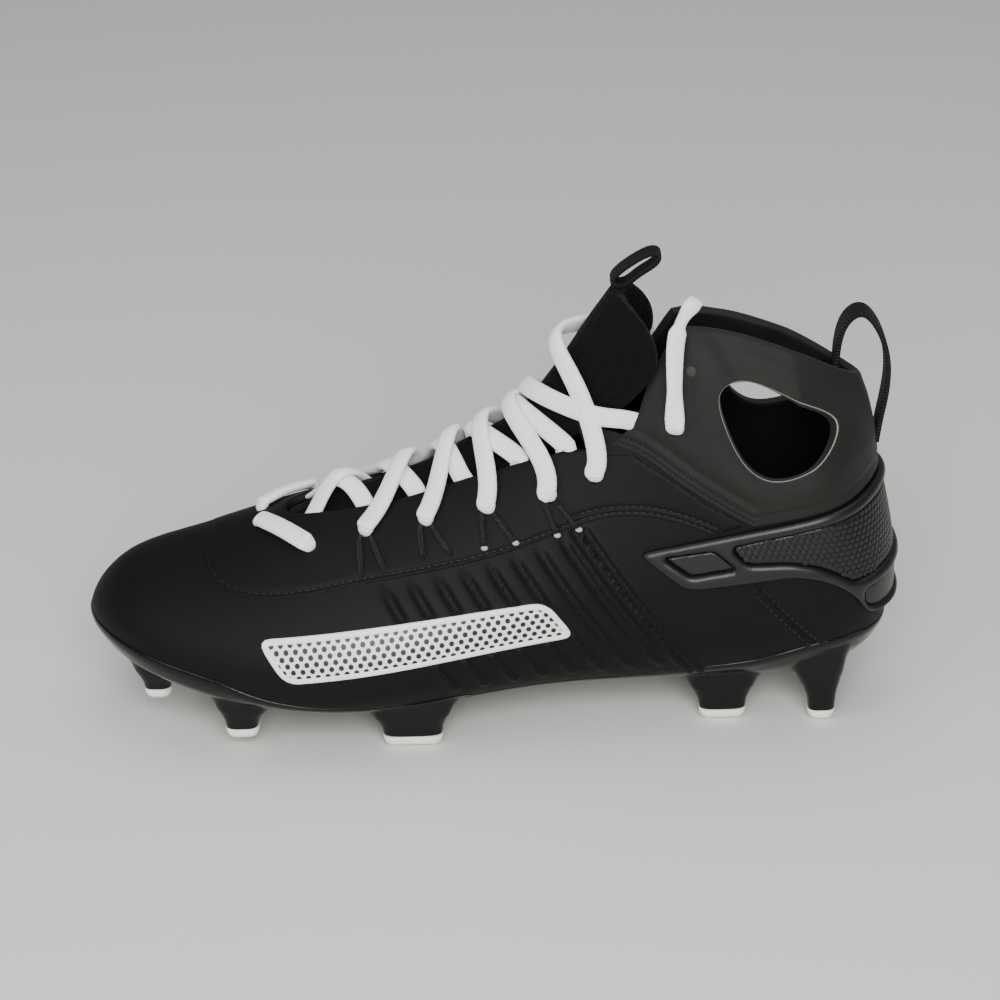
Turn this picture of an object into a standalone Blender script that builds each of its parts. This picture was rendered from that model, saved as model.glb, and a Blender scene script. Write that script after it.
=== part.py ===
"""Left lacrosse cleat of mid height: a studded plate, a hollow laced upper with a windowed ankle cuff,
a moulded heel counter, an eyestay, a tongue, an insole, laces and two webbing loops.

The toe points to -X, the outer (lateral) side faces -Y and +Z is up; the studs stand on z = 0.
The tables are a shoemaker's pattern in millimetres: "station" is the distance from the back of the heel
towards the toe, "height" is above the floor and "across" is positive on the inner (medial) side.
"""

import math

import bmesh
import bpy
import numpy as np

MM = 0.001

# Driving sizes, in millimetres, and the sizes that the pattern tables are drawn for.
SHOE_LENGTH = 290.0
BALL_WIDTH = 96.0
CUFF_HEIGHT = 150.0
PATTERN_LENGTH = 290.0
PATTERN_BALL = 92.0
PATTERN_CUFF = 150.0
GRADE = (SHOE_LENGTH / PATTERN_LENGTH, BALL_WIDTH / PATTERN_BALL, CUFF_HEIGHT / PATTERN_CUFF)

# The middle of the finished shoe's box, in pattern stations and across, which becomes the origin.
MIDDLE_STATION = 144.068
MIDDLE_ACROSS = 3.026

# Walls and layers.
GAP = 0.3
UPPER_WALL = 1.8
CUFF_LAYER = 1.3
EYESTAY_LAYER = 1.0
COUNTER_PANEL = 0.9
COUNTER_FRAME = 2.2
PLATE_PROUD = 0.8
PLATE_INSET = 1.2
INSOLE_INSET = 2.5
INSOLE_THICKNESS = 3.5
TONGUE_THICKNESS = 4.0
TONGUE_INSET = UPPER_WALL + 1.2
LACE_HOLE_RADIUS = 2.2
LACE_WIDTH = 6.0
LACE_THICKNESS = 2.8
LACE_SIDES = 6
# A faceted oval is drawn larger by this share, so that it holds the cord's own section.
LACE_FACETED = 1.06
WEBBING_WIDTH = 9.0
WEBBING_THICKNESS = 1.7
TIP_HEIGHT = 4.6

# How finely the solids are faceted: rings along the shoe, and points up each lower and upper flank.
RING_COUNT = 29
LOW_STEPS = 4
HIGH_STEPS = 6
# The finer net that pieces are laid on.
FINE_RINGS = 240
FINE_LOW = 12
FINE_HIGH = 24
# A point on the net is read from so many of its nearest points, weighed by this distance.
NEAREST_POINTS = 14
NEAREST_REACH = 3.0
# Net points below this height belong to the underside.
UNDERSIDE_HEIGHT = 32.0
# Cutters seen from the side reach so far across, and from so far below to so far above the shoe.
CUTTER_REACH = 75.0
CUTTER_LOW = -40.0
CUTTER_HIGH = 240.0

# Sections of the whole shoe, toe to ankle. Each lies in a plane that leans from a point on the sole or
# the heel (back_s, back_z) to one on the vamp or the instep (front_s, front_z). Further columns: half
# widths, where the section's foot and crest lie across, the share of the way up where it is widest, the
# squareness of its lower corners, the fullness of its flanks and the roundness of its crest.
SECTIONS = np.array([
    # back_s back_z front_s front_z lateral medial foot crest widest square full round
    (289.6, 36.0, 289.6, 41.5, 5.0, 5.0, 9.0, 9.0, 0.50, 2.0, 0.55, 0.55),
    (287.4, 32.8, 287.2, 46.0, 11.5, 11.0, 8.8, 9.0, 0.46, 2.2, 0.55, 0.55),
    (283.2, 29.8, 282.5, 51.4, 18.5, 17.0, 8.2, 9.0, 0.43, 2.5, 0.54, 0.55),
    (276.5, 27.0, 275.0, 56.6, 26.0, 23.5, 7.0, 9.0, 0.41, 2.8, 0.52, 0.55),
    (266.5, 24.4, 263.5, 61.0, 33.5, 29.5, 5.5, 9.0, 0.39, 3.1, 0.48, 0.54),
    (253.0, 21.6, 248.0, 65.2, 39.5, 35.5, 4.0, 9.0, 0.37, 3.4, 0.44, 0.52),
    (236.0, 18.2, 228.5, 71.6, 44.0, 41.5, 2.5, 8.8, 0.35, 3.6, 0.38, 0.50),
    (216.0, 15.4, 205.5, 79.0, 46.5, 45.5, 1.5, 8.4, 0.34, 3.6, 0.32, 0.48),
    (194.0, 13.7, 181.0, 85.8, 46.5, 44.5, 0.8, 7.6, 0.34, 3.5, 0.27, 0.46),
    (172.0, 13.2, 157.5, 96.0, 43.5, 40.5, 0.4, 6.4, 0.34, 3.3, 0.23, 0.44),
    (150.0, 13.8, 138.0, 109.6, 39.5, 36.0, 0.2, 5.0, 0.34, 3.1, 0.20, 0.42),
    (128.0, 14.8, 121.0, 124.5, 36.0, 33.5, 0.0, 3.4, 0.35, 3.0, 0.17, 0.42),
    (106.0, 15.3, 108.5, 133.5, 34.0, 32.5, 0.0, 2.0, 0.36, 3.0, 0.16, 0.44),
    (84.0, 15.0, 99.0, 139.0, 33.2, 32.5, 0.0, 1.0, 0.36, 2.9, 0.20, 0.46),
    (62.0, 14.6, 92.5, 143.5, 33.2, 32.8, 0.0, 0.5, 0.36, 2.8, 0.26, 0.48),
    (42.0, 15.0, 87.5, 147.5, 33.2, 32.8, 0.0, 0.0, 0.36, 2.7, 0.32, 0.50),
    (25.0, 17.2, 83.5, 151.0, 33.0, 32.6, 0.0, 0.0, 0.38, 2.6, 0.36, 0.52),
    (12.0, 22.8, 80.5, 154.0, 32.8, 32.4, 0.0, 0.0, 0.40, 2.5, 0.38, 0.54),
    (4.2, 31.8, 78.0, 156.5, 32.4, 32.0, 0.0, 0.0, 0.42, 2.4, 0.36, 0.52),
    (0.4, 43.0, 76.0, 158.5, 31.8, 31.4, 0.0, 0.0, 0.43, 2.3, 0.28, 0.46),
    (0.0, 56.0, 74.5, 160.5, 30.6, 30.0, 0.0, 0.0, 0.43, 2.2, 0.16, 0.38),
    (2.0, 72.0, 73.0, 162.5, 28.4, 27.2, 0.0, 0.0, 0.43, 2.1, 0.09, 0.31),
    (5.6, 90.0, 71.5, 164.5, 23.6, 21.0, 0.0, 0.0, 0.44, 2.0, 0.07, 0.28),
    (10.0, 110.0, 70.0, 167.0, 17.0, 13.6, 0.0, 0.0, 0.45, 1.95, 0.09, 0.28),
    (14.2, 128.0, 68.5, 170.0, 12.8, 10.0, 0.0, 0.0, 0.46, 1.9, 0.11, 0.32),
    (17.5, 142.0, 67.0, 174.0, 10.8, 9.0, 0.0, 0.0, 0.46, 2.0, 0.20, 0.48),
])

# Lines seen from the side: station, height.
FEATHER_LINE = [(-12, 37), (6, 36.5), (29, 35), (48, 29.7), (62, 27), (80, 24), (100, 21.5), (125, 20),
                (165, 19.5), (190, 20.5), (210, 22.8), (226, 27), (240, 32), (255, 35), (275, 37.5),
                (302, 39.5)]
BED_LINE = [(-12, 25), (8, 22.5), (30, 19.5), (60, 18.3), (100, 18.8), (140, 17.6), (180, 17.0), (212, 18.6),
            (236, 22), (256, 26), (274, 30.5), (302, 37)]
RIM_LINE = [(-12, 121), (4, 124.5), (14, 128), (24, 133.5), (35, 139.5), (46, 144), (57, 147.5), (68, 149.5),
            (80, 149.8), (105, 148), (130, 144)]
CUFF_FRONT = [(150, 91), (141, 95.5), (126, 102.5), (113, 105.5), (104, 108.5), (97, 115), (91, 126),
              (85, 137), (79, 146.5), (73, 158), (69, 182)]
CUFF_SEAM = [(-12, 95), (6, 93.5), (30, 89.2), (52, 85.0), (65, 92.5), (80, 102), (93, 109.5), (112, 113)]
# The rim falls by this share of the distance across, towards the inner side.
RIM_TILT = 0.15
# The throat seen from above: station, half width about the crest.
THROAT_LINE = [(217.0, 0.0), (215.5, 4.0), (210.5, 7.0), (202, 9.0), (190, 10.4), (170, 12.0), (152, 13.6),
               (134, 16.8), (118, 18.6), (104, 19.5)]
# Closed outlines seen from the side: station, height.
WINDOW = [(23.0, 116.0), (34, 125.5), (47, 132.3), (57, 134.4), (63, 130.6), (61, 120.0), (56, 109.5),
          (50, 103.6), (42.5, 102.0), (31, 105.8)]
EYESTAY_EDGE = [(247, 78), (246.5, 66), (240, 59.5), (225, 58), (206, 60.5), (190, 63.6), (163, 68.5),
                (138, 74.8), (120, 81.5), (107, 86), (94, 87.8), (80, 86.4), (66, 81.6)]
EYESTAY_TOP = [(54, 85.4), (66, 91.5), (80, 100.8), (93, 108.2), (104, 107.5), (125, 160), (200, 130)]
COUNTER_TOP_BAR = [(-12, 94.2), (6, 92.6), (30, 88.4), (52, 83.8), (72, 79.4), (92, 75.0), (76, 62.2),
                   (70, 62.0), (49, 64.4), (38, 65.8), (29, 64.0), (22, 60.2), (16, 54.5), (11, 45.2),
                   (-12, 43)]
COUNTER_WINDOW = [(-14, 88.6), (6, 88.2), (30, 84.2), (50, 80.0), (60, 77.6), (54, 70.8), (39, 71.0),
                  (30, 69.0), (23, 65.4), (17, 60.6), (3, 62.8), (-14, 63.2)]
COUNTER_DIAMOND = [(57.5, 69.4), (65.5, 76.4), (83, 73.6), (73.5, 66.6)]
COUNTER_PAD = [(-14, 59), (2, 58.6), (13.2, 57.0), (12.6, 50.0), (8.5, 47.0), (-14, 46.6)]
# Paths of the webbing: the heel loop from inside the collar to the outside, the tongue's loop all round.
PULL_LOOP = [(15.4, 112), (18.3, 120), (20.7, 127.4), (21.3, 133.5), (20.6, 140.5), (18.4, 147.2),
             (14.2, 150.8), (10, 149), (6.4, 143), (4, 135.4), (3, 127), (3.2, 118.5), (4.2, 110.5), (5.4, 103)]
TONGUE_LOOP = [(98.4, 164.4), (95.8, 168.2), (90.8, 171.8), (85.4, 174.4), (82.6, 173.4), (84.4, 170.2),
               (89.4, 166.8), (94.6, 163.2)]

# Studs: station and across of the tip, tip length and width, height of the tip above the floor.
STUDS = {
    # name: station, across, length, width, above
    "heel_back_lateral": (26.0, -20.0, 9.5, 8.5, 0.0),
    "heel_blade_lateral": (61.5, -18.0, 16.5, 7.5, 0.0),
    "ball_blade_lateral": (173.0, -30.5, 21.0, 7.5, 0.0),
    "front_lateral": (234.0, -29.0, 11.5, 9.0, 4.4),
    "toe_lateral": (265.5, -12.5, 9.5, 8.5, 11.4),
    "heel_back_medial": (33.0, 17.0, 9.5, 8.5, 0.0),
    "heel_blade_medial": (67.0, 19.0, 16.5, 7.5, 0.0),
    "ball_blade_medial": (184.0, 30.0, 19.0, 7.5, 0.0),
    "middle_medial": (209.0, 32.0, 11.0, 8.5, 1.4),
    "front_medial": (239.0, 29.0, 11.5, 9.0, 5.6),
    "toe_medial": (264.5, 19.5, 9.5, 8.5, 11.2),
}
# A stud's flare from its tip up to its root: share of its height, growth in length and in width.
STUD_FLARE = [(0.0, 0.6, 0.5), (0.4, 1.2, 0.8), (0.7, 3.2, 1.5), (1.0, 8.0, 2.8)]
STUD_SIDES = 12
STUD_ROOT = 2.6
STUD_SQUARENESS = 0.62
# A white tip from its foot up: height, growth in length and width.
TIP_PROFILE = [(0.0, -1.1), (0.9, 0.0), (TIP_HEIGHT, 0.55)]

# Lace holes on each flank: station, height. The last one is in the cuff.
LACE_HOLES = [(207.0, 71.5), (187.2, 76.5), (165.5, 81.3), (143.5, 87.2), (122.0, 93.0), (106.0, 100.2),
              (77.8, 117.8)]
FRONT_HOLE = (226.0, 5.0)
CUFF_SPARE_HOLE = (72.0, 138.0)
SPARE_HOLE_RADIUS = 1.6
# The crossings of the lace: the hole that each cord leaves, or none, and the stations where it passes the
# near edge of the throat, the crest of the tongue and the far edge.
CROSSINGS = [
    # hole near crest far
    (None, 203.5, 196.0, 189.0),
    (1, 182.0, 176.5, 170.5),
    (2, 162.5, 158.5, 154.0),
    (3, 144.5, 146.0, 134.5),
    (4, 124.5, 131.0, 118.0),
    (5, 107.0, 118.0, 98.0),
]
# How far a lace's middle clears what it lies on, and how far the upper cord is raised where two cross.
LACE_CLEAR = LACE_THICKNESS * 0.53 + 0.5
LACE_RAISED = LACE_THICKNESS * 0.85
LACE_LAYER = GAP + EYESTAY_LAYER
# Extra lifts of a crossing: at its hole, at the near edge, over the tongue and at the far edge.
CROSSING_LIFT = {"hole": 0.3, "near": 0.9, "tongue": 1.7, "far": 2.6}
# The lowest crossing starts inside the throat, so far from its edge and so far above the tongue's inset.
LOWEST_INSIDE = 5.0
LOWEST_LIFT = 3.4
FAR_INSIDE = 4.0
# The top crossing goes over the standing tongue: station past the crest, share of the half width, lift.
TOP_ROUTE = [(4.0, 0.6, 3.0), (0.0, 0.0, 2.4), (-4.0, -0.6, 3.0), (-8.0, -0.98, 3.8)]
# The lowest bars: the share of the way between their holes that they span, and their bow.
BAR_SPAN = (0.06, 0.94)
BAR_POINTS = 6
BAR_BOW = 1.6
BAR_CLEAR = LACE_LAYER + LACE_THICKNESS * 0.55 + 0.5
# The free end of the lace lies up the cuff and leans over its rim: station, height, proud of the cuff.
LACE_END = [(77.6, 120.0, 2.9), (77.2, 128, 2.9), (76.6, 136.5, 3.0), (75.8, 144.5, 3.4), (74.2, 152, 4.4),
            (70.8, 159.5, 5.4)]
LACE_END_DIAMETER = 4.4
# Above this height the end leaves the cuff and stands free.
LACE_END_LEAVES = 150.0

# The tongue, front to top: station of its crest, height of its crest (or none where it lies under the
# upper's form), half width, and how far its edges fall back from the crest.
TONGUE_ROWS = [
    # station height half_width fall
    (227.0, None, 14.0, None),
    (217.5, None, 15.6, None),
    (210.0, None, 16.7, None),
    (195.0, None, 18.0, None),
    (176.0, None, 19.5, None),
    (160.0, None, 19.0, None),
    (147.0, None, 17.0, None),
    (133.5, 112.2, 14.4, 9.0),
    (124.0, 124.0, 16.8, 14.0),
    (116.5, 134.8, 19.5, 18.5),
    (110.5, 144.5, 21.0, 21.0),
    (105.0, 153.0, 21.5, 21.0),
    (100.5, 159.5, 19.0, 15.0),
    (98.6, 162.2, 13.5, 7.0),
]
TONGUE_COLUMNS = 9
# In the throat the tongue rises by this much, in full where the throat is so wide to each side.
TONGUE_RISE = 4.5
TONGUE_RISE_HALF = 10.0
# The tongue thins towards its edges as a cosine of this angle.
TONGUE_EDGE_ANGLE = 1.2
# From this station up the tongue stands proud of the throat.
STANDING_TONGUE = 125.0

# Colours as linear red, green and blue, then roughness.
FINISHES = {
    "black_synthetic": ((0.012, 0.012, 0.012), 0.62),
    "black_cuff": ((0.018, 0.018, 0.017), 0.72),
    "black_plastic": ((0.010, 0.010, 0.010), 0.38),
    "black_knit": ((0.008, 0.008, 0.008), 0.90),
    "black_webbing": ((0.011, 0.011, 0.011), 0.85),
    "grey_foam": ((0.03, 0.03, 0.03), 0.90),
    "white_plastic": ((0.80, 0.80, 0.78), 0.35),
    "white_lace": ((0.78, 0.78, 0.74), 0.88),
}


def clear_scene():
    for obj in list(bpy.data.objects):
        bpy.data.objects.remove(obj, do_unlink=True)


def material(name):
    found = bpy.data.materials.get(name)
    if found:
        return found
    colour, roughness = FINISHES[name]
    made = bpy.data.materials.new(name)
    made.use_nodes = True
    shader = made.node_tree.nodes["Principled BSDF"]
    shader.inputs["Base Color"].default_value = (*colour, 1.0)
    shader.inputs["Roughness"].default_value = roughness
    shader.inputs["Metallic"].default_value = 0.0
    return made


def spline(column, at):
    """A smooth curve through a table column, read at the row numbers `at`."""
    column, at = np.asarray(column, float), np.asarray(at, float)
    count = len(column)
    left, right = np.zeros((count, count)), np.zeros(count)
    left[0, 0] = left[-1, -1] = 1.0
    for i in range(1, count - 1):
        left[i, i - 1:i + 2] = 1.0, 4.0, 1.0
        right[i] = 6.0 * (column[i + 1] - 2.0 * column[i] + column[i - 1])
    bend = np.linalg.solve(left, right)
    i = np.clip(np.floor(at).astype(int), 0, count - 2)
    after = at - i
    before = 1.0 - after
    curve = (before ** 3 - before) * bend[i] + (after ** 3 - after) * bend[i + 1]
    return before * column[i] + after * column[i + 1] + curve / 6.0


def smooth_path(points, per_gap=3, closed=False):
    """A smooth line through points, closed or open."""
    points = np.asarray(points, float)
    count, lap = len(points), 3
    if closed:
        points = np.concatenate([points[-lap:], points, points[:lap]])
        at = lap + np.arange(count * per_gap) / per_gap
    else:
        at = np.linspace(0, count - 1, int((count - 1) * per_gap) + 1)
    return np.stack([spline(column, at) for column in points.T], axis=1)


def place(points):
    """Pattern points (station, across, height) as millimetres in the shoe's frame, graded to its size."""
    station, across, height = np.moveaxis(np.asarray(points, float), -1, 0)
    x = (MIDDLE_STATION - station) * GRADE[0]
    y = (across - MIDDLE_ACROSS) * GRADE[1]
    return np.stack([x, y, height * GRADE[2]], axis=-1)


def section_ring(row, low_steps, high_steps):
    """One section from the middle of its foot, up the lateral flank, over the crest and down again."""
    back_s, back_z, front_s, front_z, lateral, medial, foot, crest, widest, square, full, crown = row
    low = np.linspace(0, math.pi / 2, low_steps, endpoint=False)
    power = 2.0 / square
    rise_low, reach_low = widest * (1 - np.cos(low) ** power), np.sin(low) ** power
    t = np.linspace(0, 1, high_steps + 1)
    reach_high = (1 - t) ** 3 + 3 * (1 - t) ** 2 * t + 3 * (1 - t) * t ** 2 * crown
    rise_high = widest + (1 - widest) * (3 * (1 - t) ** 2 * t * full + 3 * (1 - t) * t ** 2 + t ** 3)
    rise, reach = np.concatenate([rise_low, rise_high]), np.concatenate([reach_low, reach_high])
    rise = np.concatenate([rise, rise[-2:0:-1]])
    out = np.concatenate([-lateral * reach, medial * reach[-2:0:-1]])
    across = foot + (crest - foot) * rise + out
    return np.stack([back_s + (front_s - back_s) * rise, across, back_z + (front_z - back_z) * rise], axis=1)


def form_grid(rings, low_steps, high_steps):
    """The shoe's outside: points and outward normals, rings by ring points."""
    rows = np.linspace(0, len(SECTIONS) - 1, rings)
    table = np.stack([spline(column, rows) for column in SECTIONS.T], axis=1)
    grid = place([section_ring(row, low_steps, high_steps) for row in table])
    along = np.gradient(grid, axis=0)
    around = np.roll(grid, -1, axis=1) - np.roll(grid, 1, axis=1)
    normal = np.cross(around, along)
    normal /= np.maximum(np.linalg.norm(normal, axis=2, keepdims=True), 1e-9)
    outward = np.sign(np.sum(normal * (grid - grid.mean(axis=1, keepdims=True))))
    return grid, normal * outward


FINE_GRID, FINE_NORMALS = form_grid(FINE_RINGS, FINE_LOW, FINE_HIGH)
FINE_CREST = FINE_LOW + FINE_HIGH


def new_object(name, points, faces, finish=None):
    """A mesh object from points in millimetres; without a finish it is a hidden helper."""
    mesh = bpy.data.meshes.new(name)
    mesh.from_pydata((np.asarray(points) * MM).tolist(), [], [list(face) for face in faces])
    work = bmesh.new()
    work.from_mesh(mesh)
    bmesh.ops.recalc_face_normals(work, faces=work.faces)
    work.to_mesh(mesh)
    work.free()
    obj = bpy.data.objects.new(name, mesh)
    bpy.context.scene.collection.objects.link(obj)
    if finish is None:
        obj.hide_render = True
        obj.display_type = "WIRE"
    else:
        dress(obj, finish)
    return obj


def dress(obj, finish):
    obj.data.materials.append(material(finish))
    obj.data.shade_smooth()
    obj.data.set_sharp_from_angle(angle=math.radians(35))


def tube_faces(rings, around, closed=False):
    """Triangles over rings of points, with a cap on each end of an open run."""
    faces = []
    for i in range(rings if closed else rings - 1):
        for j in range(around):
            k = (j + 1) % around
            n = (i + 1) % rings
            faces.append((i * around + j, i * around + k, n * around + k))
            faces.append((i * around + j, n * around + k, n * around + j))
    if not closed:
        faces.append(range(around))
        faces.append(range((rings - 1) * around, rings * around))
    return faces


def form(name, offset, finish=None):
    """The whole shoe's form as a closed solid, grown or shrunk by an offset along its normals; a helper
    form, which has no finish, reaches further up so that what it is cut from is left open there."""
    grid, normal = form_grid(RING_COUNT, LOW_STEPS, HIGH_STEPS)
    grid = grid + normal * offset
    if finish is None:
        beyond = grid[-1] * 2 - grid[-2]
        grid = np.concatenate([grid, beyond[None]])
    rings, around = grid.shape[:2]
    return new_object(name, grid.reshape(-1, 3), tube_faces(rings, around), finish)


def prism(name, outline, low=-CUTTER_REACH, high=CUTTER_REACH, view="side", tilt=0.0):
    """An outline seen from the side (station, height) or from above (station, across), made a solid."""
    count = len(outline)
    if view == "side":
        layers = [[(s, depth, z - tilt * depth) for s, z in outline] for depth in (low, high)]
    else:
        layers = [[(s, y, depth) for s, y in outline] for depth in (low, high)]
    return new_object(name, place(layers).reshape(-1, 3), tube_faces(2, count))


def band(name, line, lift, far_height, tilt=0.0):
    """A side-view solid between a smooth line, raised by `lift`, and a level far above or below it."""
    path = np.array(line, float) + (0, lift)
    corners = [(path[-1, 0], far_height), (path[0, 0], far_height)]
    return prism(name, np.concatenate([path, corners]), tilt=tilt)


def boolean(obj, other, operation="DIFFERENCE"):
    change = obj.modifiers.new(f"{operation.lower()}_{other.name}", "BOOLEAN")
    change.operation = operation
    change.object = other
    change.solver = "EXACT"
    return obj


def crest_across(station):
    """Where the crest lies across, in pattern millimetres, at a station."""
    order = np.argsort(SECTIONS[:, 2])
    return np.interp(station, SECTIONS[order, 2], SECTIONS[order, 7])


def skin_point(points, normals, aim, known, sought):
    """The form's point over two known coordinates, from a plane through its nearest grid points."""
    apart = np.linalg.norm(points[:, known] - aim, axis=1)
    near = np.argsort(apart)[:NEAREST_POINTS]
    share = np.exp(-(apart[near] / NEAREST_REACH) ** 2) + 1e-6
    plane = np.column_stack([np.ones(len(near)), points[near][:, known] - aim]) * share[:, None]
    solved = np.linalg.lstsq(plane, points[near, sought] * share, rcond=None)[0]
    point = np.zeros(3)
    point[known] = aim
    point[sought] = solved[0]
    normal = (normals[near] * share[:, None]).sum(axis=0)
    return point, normal / np.linalg.norm(normal)


def on_flank(station, height, side):
    """The point and outward normal of the form on a flank: side is -1 lateral or 1 medial."""
    flank = slice(1, FINE_CREST) if side < 0 else slice(FINE_CREST + 1, FINE_GRID.shape[1])
    points, normals = FINE_GRID[:, flank].reshape(-1, 3), FINE_NORMALS[:, flank].reshape(-1, 3)
    aim = place((station, 0, height))[[0, 2]]
    return skin_point(points, normals, aim, [0, 2], 1)


def on_top(station, across):
    """The point and outward normal of the form where it is seen from above."""
    upper = slice(FINE_LOW + 1, FINE_GRID.shape[1] - FINE_LOW)
    points, normals = FINE_GRID[:, upper].reshape(-1, 3), FINE_NORMALS[:, upper].reshape(-1, 3)
    return skin_point(points, normals, place((station, across, 0))[:2], [0, 1], 2)


def frame_of(direction):
    """Two unit vectors square to a direction."""
    direction = direction / np.linalg.norm(direction)
    helper = np.array((0.0, 0.0, 1.0)) if abs(direction[2]) < 0.9 else np.array((1.0, 0.0, 0.0))
    first = np.cross(direction, helper)
    first /= np.linalg.norm(first)
    return first, np.cross(direction, first)


def drill(name, point, normal, radius=LACE_HOLE_RADIUS, depth=7.0, sides=6):
    """A hidden round cutter through the wall at a point."""
    first, second = frame_of(normal)
    angles = np.arange(sides) * 2 * math.pi / sides
    circle = radius * (np.cos(angles)[:, None] * first + np.sin(angles)[:, None] * second)
    layers = [point + normal * reach + circle for reach in (-depth, depth)]
    return new_object(name, np.concatenate(layers), tube_faces(2, sides))


def lace_drills():
    """Cutters for every lace hole, by name."""
    drills = {}
    for side, word in ((-1, "lateral"), (1, "medial")):
        for number, (station, height) in enumerate(LACE_HOLES):
            name = f"hole_{word}_{number}"
            drills[name] = drill(name, *on_flank(station, height, side))
        across = crest_across(FRONT_HOLE[0]) + side * FRONT_HOLE[1]
        name = f"hole_{word}_front"
        drills[name] = drill(name, *on_top(FRONT_HOLE[0], across))
        name = f"hole_{word}_spare"
        drills[name] = drill(name, *on_flank(*CUFF_SPARE_HOLE, side), radius=SPARE_HOLE_RADIUS)
    return drills


def throat_cutter():
    line = smooth_path(THROAT_LINE, 2)
    crest = crest_across(line[:, 0])
    lateral = np.stack([line[:, 0], crest - line[:, 1]], axis=1)
    medial = np.stack([line[:, 0], crest + line[:, 1]], axis=1)[::-1]
    return prism("throat_cutter", np.concatenate([lateral, medial[:-1]]), 50, 140, view="top")


def cuff_front_cutter():
    line = np.array(CUFF_FRONT, float)
    corners = [(line[-1, 0] + 80, 190), (line[0, 0] + 20, 150)]
    return prism("cuff_front_cutter", np.concatenate([line, corners]))


def build_cutters():
    """Shared hidden cutters."""
    cutters = {
        "throat": throat_cutter(),
        "cuff_front": cuff_front_cutter(),
        "below_feather": band("below_feather", FEATHER_LINE, GAP, CUTTER_LOW),
        "above_rim": band("above_rim", RIM_LINE, 0, CUTTER_HIGH, RIM_TILT),
        "over_seam": band("over_seam", CUFF_SEAM, -2 * GAP, CUTTER_HIGH),
        "window": prism("window_cutter", smooth_path(WINDOW, 2, closed=True)),
    }
    cutters.update(lace_drills())
    return cutters


def build_upper(cutters):
    """One hollow wall, open at the collar, the throat, the ankle windows and underneath."""
    upper = form("upper", 0.0, "black_synthetic")
    boolean(upper, form("upper_hollow", -UPPER_WALL))
    for name in ("below_feather", "above_rim", "throat", "cuff_front", "window"):
        boolean(upper, cutters[name])
    for name, cutter in cutters.items():
        if name.startswith("hole_"):
            boolean(upper, cutter)
    return upper


def build_overlay(name, finish, thickness, outline, cutters, cut_names):
    """A layer on the upper, between two larger forms, inside a side-view outline."""
    layer = form(name, GAP + thickness, finish)
    boolean(layer, form(f"{name}_under", GAP))
    boolean(layer, outline, "INTERSECT")
    for cut_name in cut_names:
        boolean(layer, cutters[cut_name])
    return layer


def build_cuff(cutters):
    outline = band("cuff_outline", CUFF_SEAM, 0, CUTTER_HIGH)
    cuts = ["cuff_front", "above_rim", "window"]
    cuts += [name for name in cutters if name.startswith("hole_") and name.endswith(("_6", "_spare"))]
    return build_overlay("ankle_cuff", "black_cuff", CUFF_LAYER, outline, cutters, cuts)


def build_eyestay(cutters):
    outline = prism("eyestay_outline", EYESTAY_EDGE + EYESTAY_TOP)
    cuts = ["throat", "cuff_front", "over_seam"]
    cuts += [name for name in cutters if name.startswith("hole_") and not name.endswith(("_6", "_spare"))]
    return build_overlay("eyestay", "black_synthetic", EYESTAY_LAYER, outline, cutters, cuts)


def build_counter():
    """The moulded heel counter: a raised frame with a diamond at the end of each arm, and thin panels."""
    frame_outline = prism("counter_outline", COUNTER_TOP_BAR)
    counter = form("heel_counter", GAP + COUNTER_FRAME, "black_plastic")
    boolean(counter, frame_outline, "INTERSECT")
    panel_level = form("counter_panel_level", GAP + COUNTER_PANEL)
    for name, outline in (("window", COUNTER_WINDOW), ("diamond", COUNTER_DIAMOND), ("pad", COUNTER_PAD)):
        recess = prism(f"counter_{name}", outline)
        boolean(recess, panel_level)
        boolean(counter, recess)
    boolean(counter, form("counter_under", GAP))
    return counter


def build_plate():
    """The moulded plate: a shallow cup under the upper with the black roots of its studs."""
    plate = form("sole_plate", PLATE_PROUD, "black_plastic")
    for name, row in STUDS.items():
        boolean(plate, stud_root(name, row), "UNION")
    boolean(plate, band("under_feather", FEATHER_LINE, 0, CUTTER_LOW), "INTERSECT")
    cavity = form("plate_cavity", -PLATE_INSET)
    boolean(cavity, band("over_bed", BED_LINE, 0, CUTTER_HIGH), "INTERSECT")
    return boolean(plate, cavity)


def stud_rings(row, levels, flares):
    """Rings of a stud: rounded rectangles that widen from the tip to the root."""
    station, across, length, width, _ = row
    angles = (np.arange(STUD_SIDES) + 0.5) * 2 * math.pi / STUD_SIDES
    cosine = np.sign(np.cos(angles)) * np.abs(np.cos(angles)) ** STUD_SQUARENESS
    sine = np.sign(np.sin(angles)) * np.abs(np.sin(angles)) ** STUD_SQUARENESS
    rings = []
    for level, (longer, wider) in zip(levels, flares):
        ring = np.stack([station + (length / 2 + longer) * cosine, across + (width / 2 + wider) * sine,
                         np.full(STUD_SIDES, level)], axis=1)
        rings.append(ring)
    return place(rings)


def on_under(station, across):
    """The height of the form's underside, in pattern millimetres."""
    lower = np.r_[0:FINE_LOW, FINE_GRID.shape[1] - FINE_LOW + 1:FINE_GRID.shape[1]]
    points, normals = FINE_GRID[:, lower].reshape(-1, 3), FINE_NORMALS[:, lower].reshape(-1, 3)
    low = points[:, 2] < UNDERSIDE_HEIGHT
    point, _ = skin_point(points[low], normals[low], place((station, across, 0))[:2], [0, 1], 2)
    return point[2] / GRADE[2]


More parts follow.
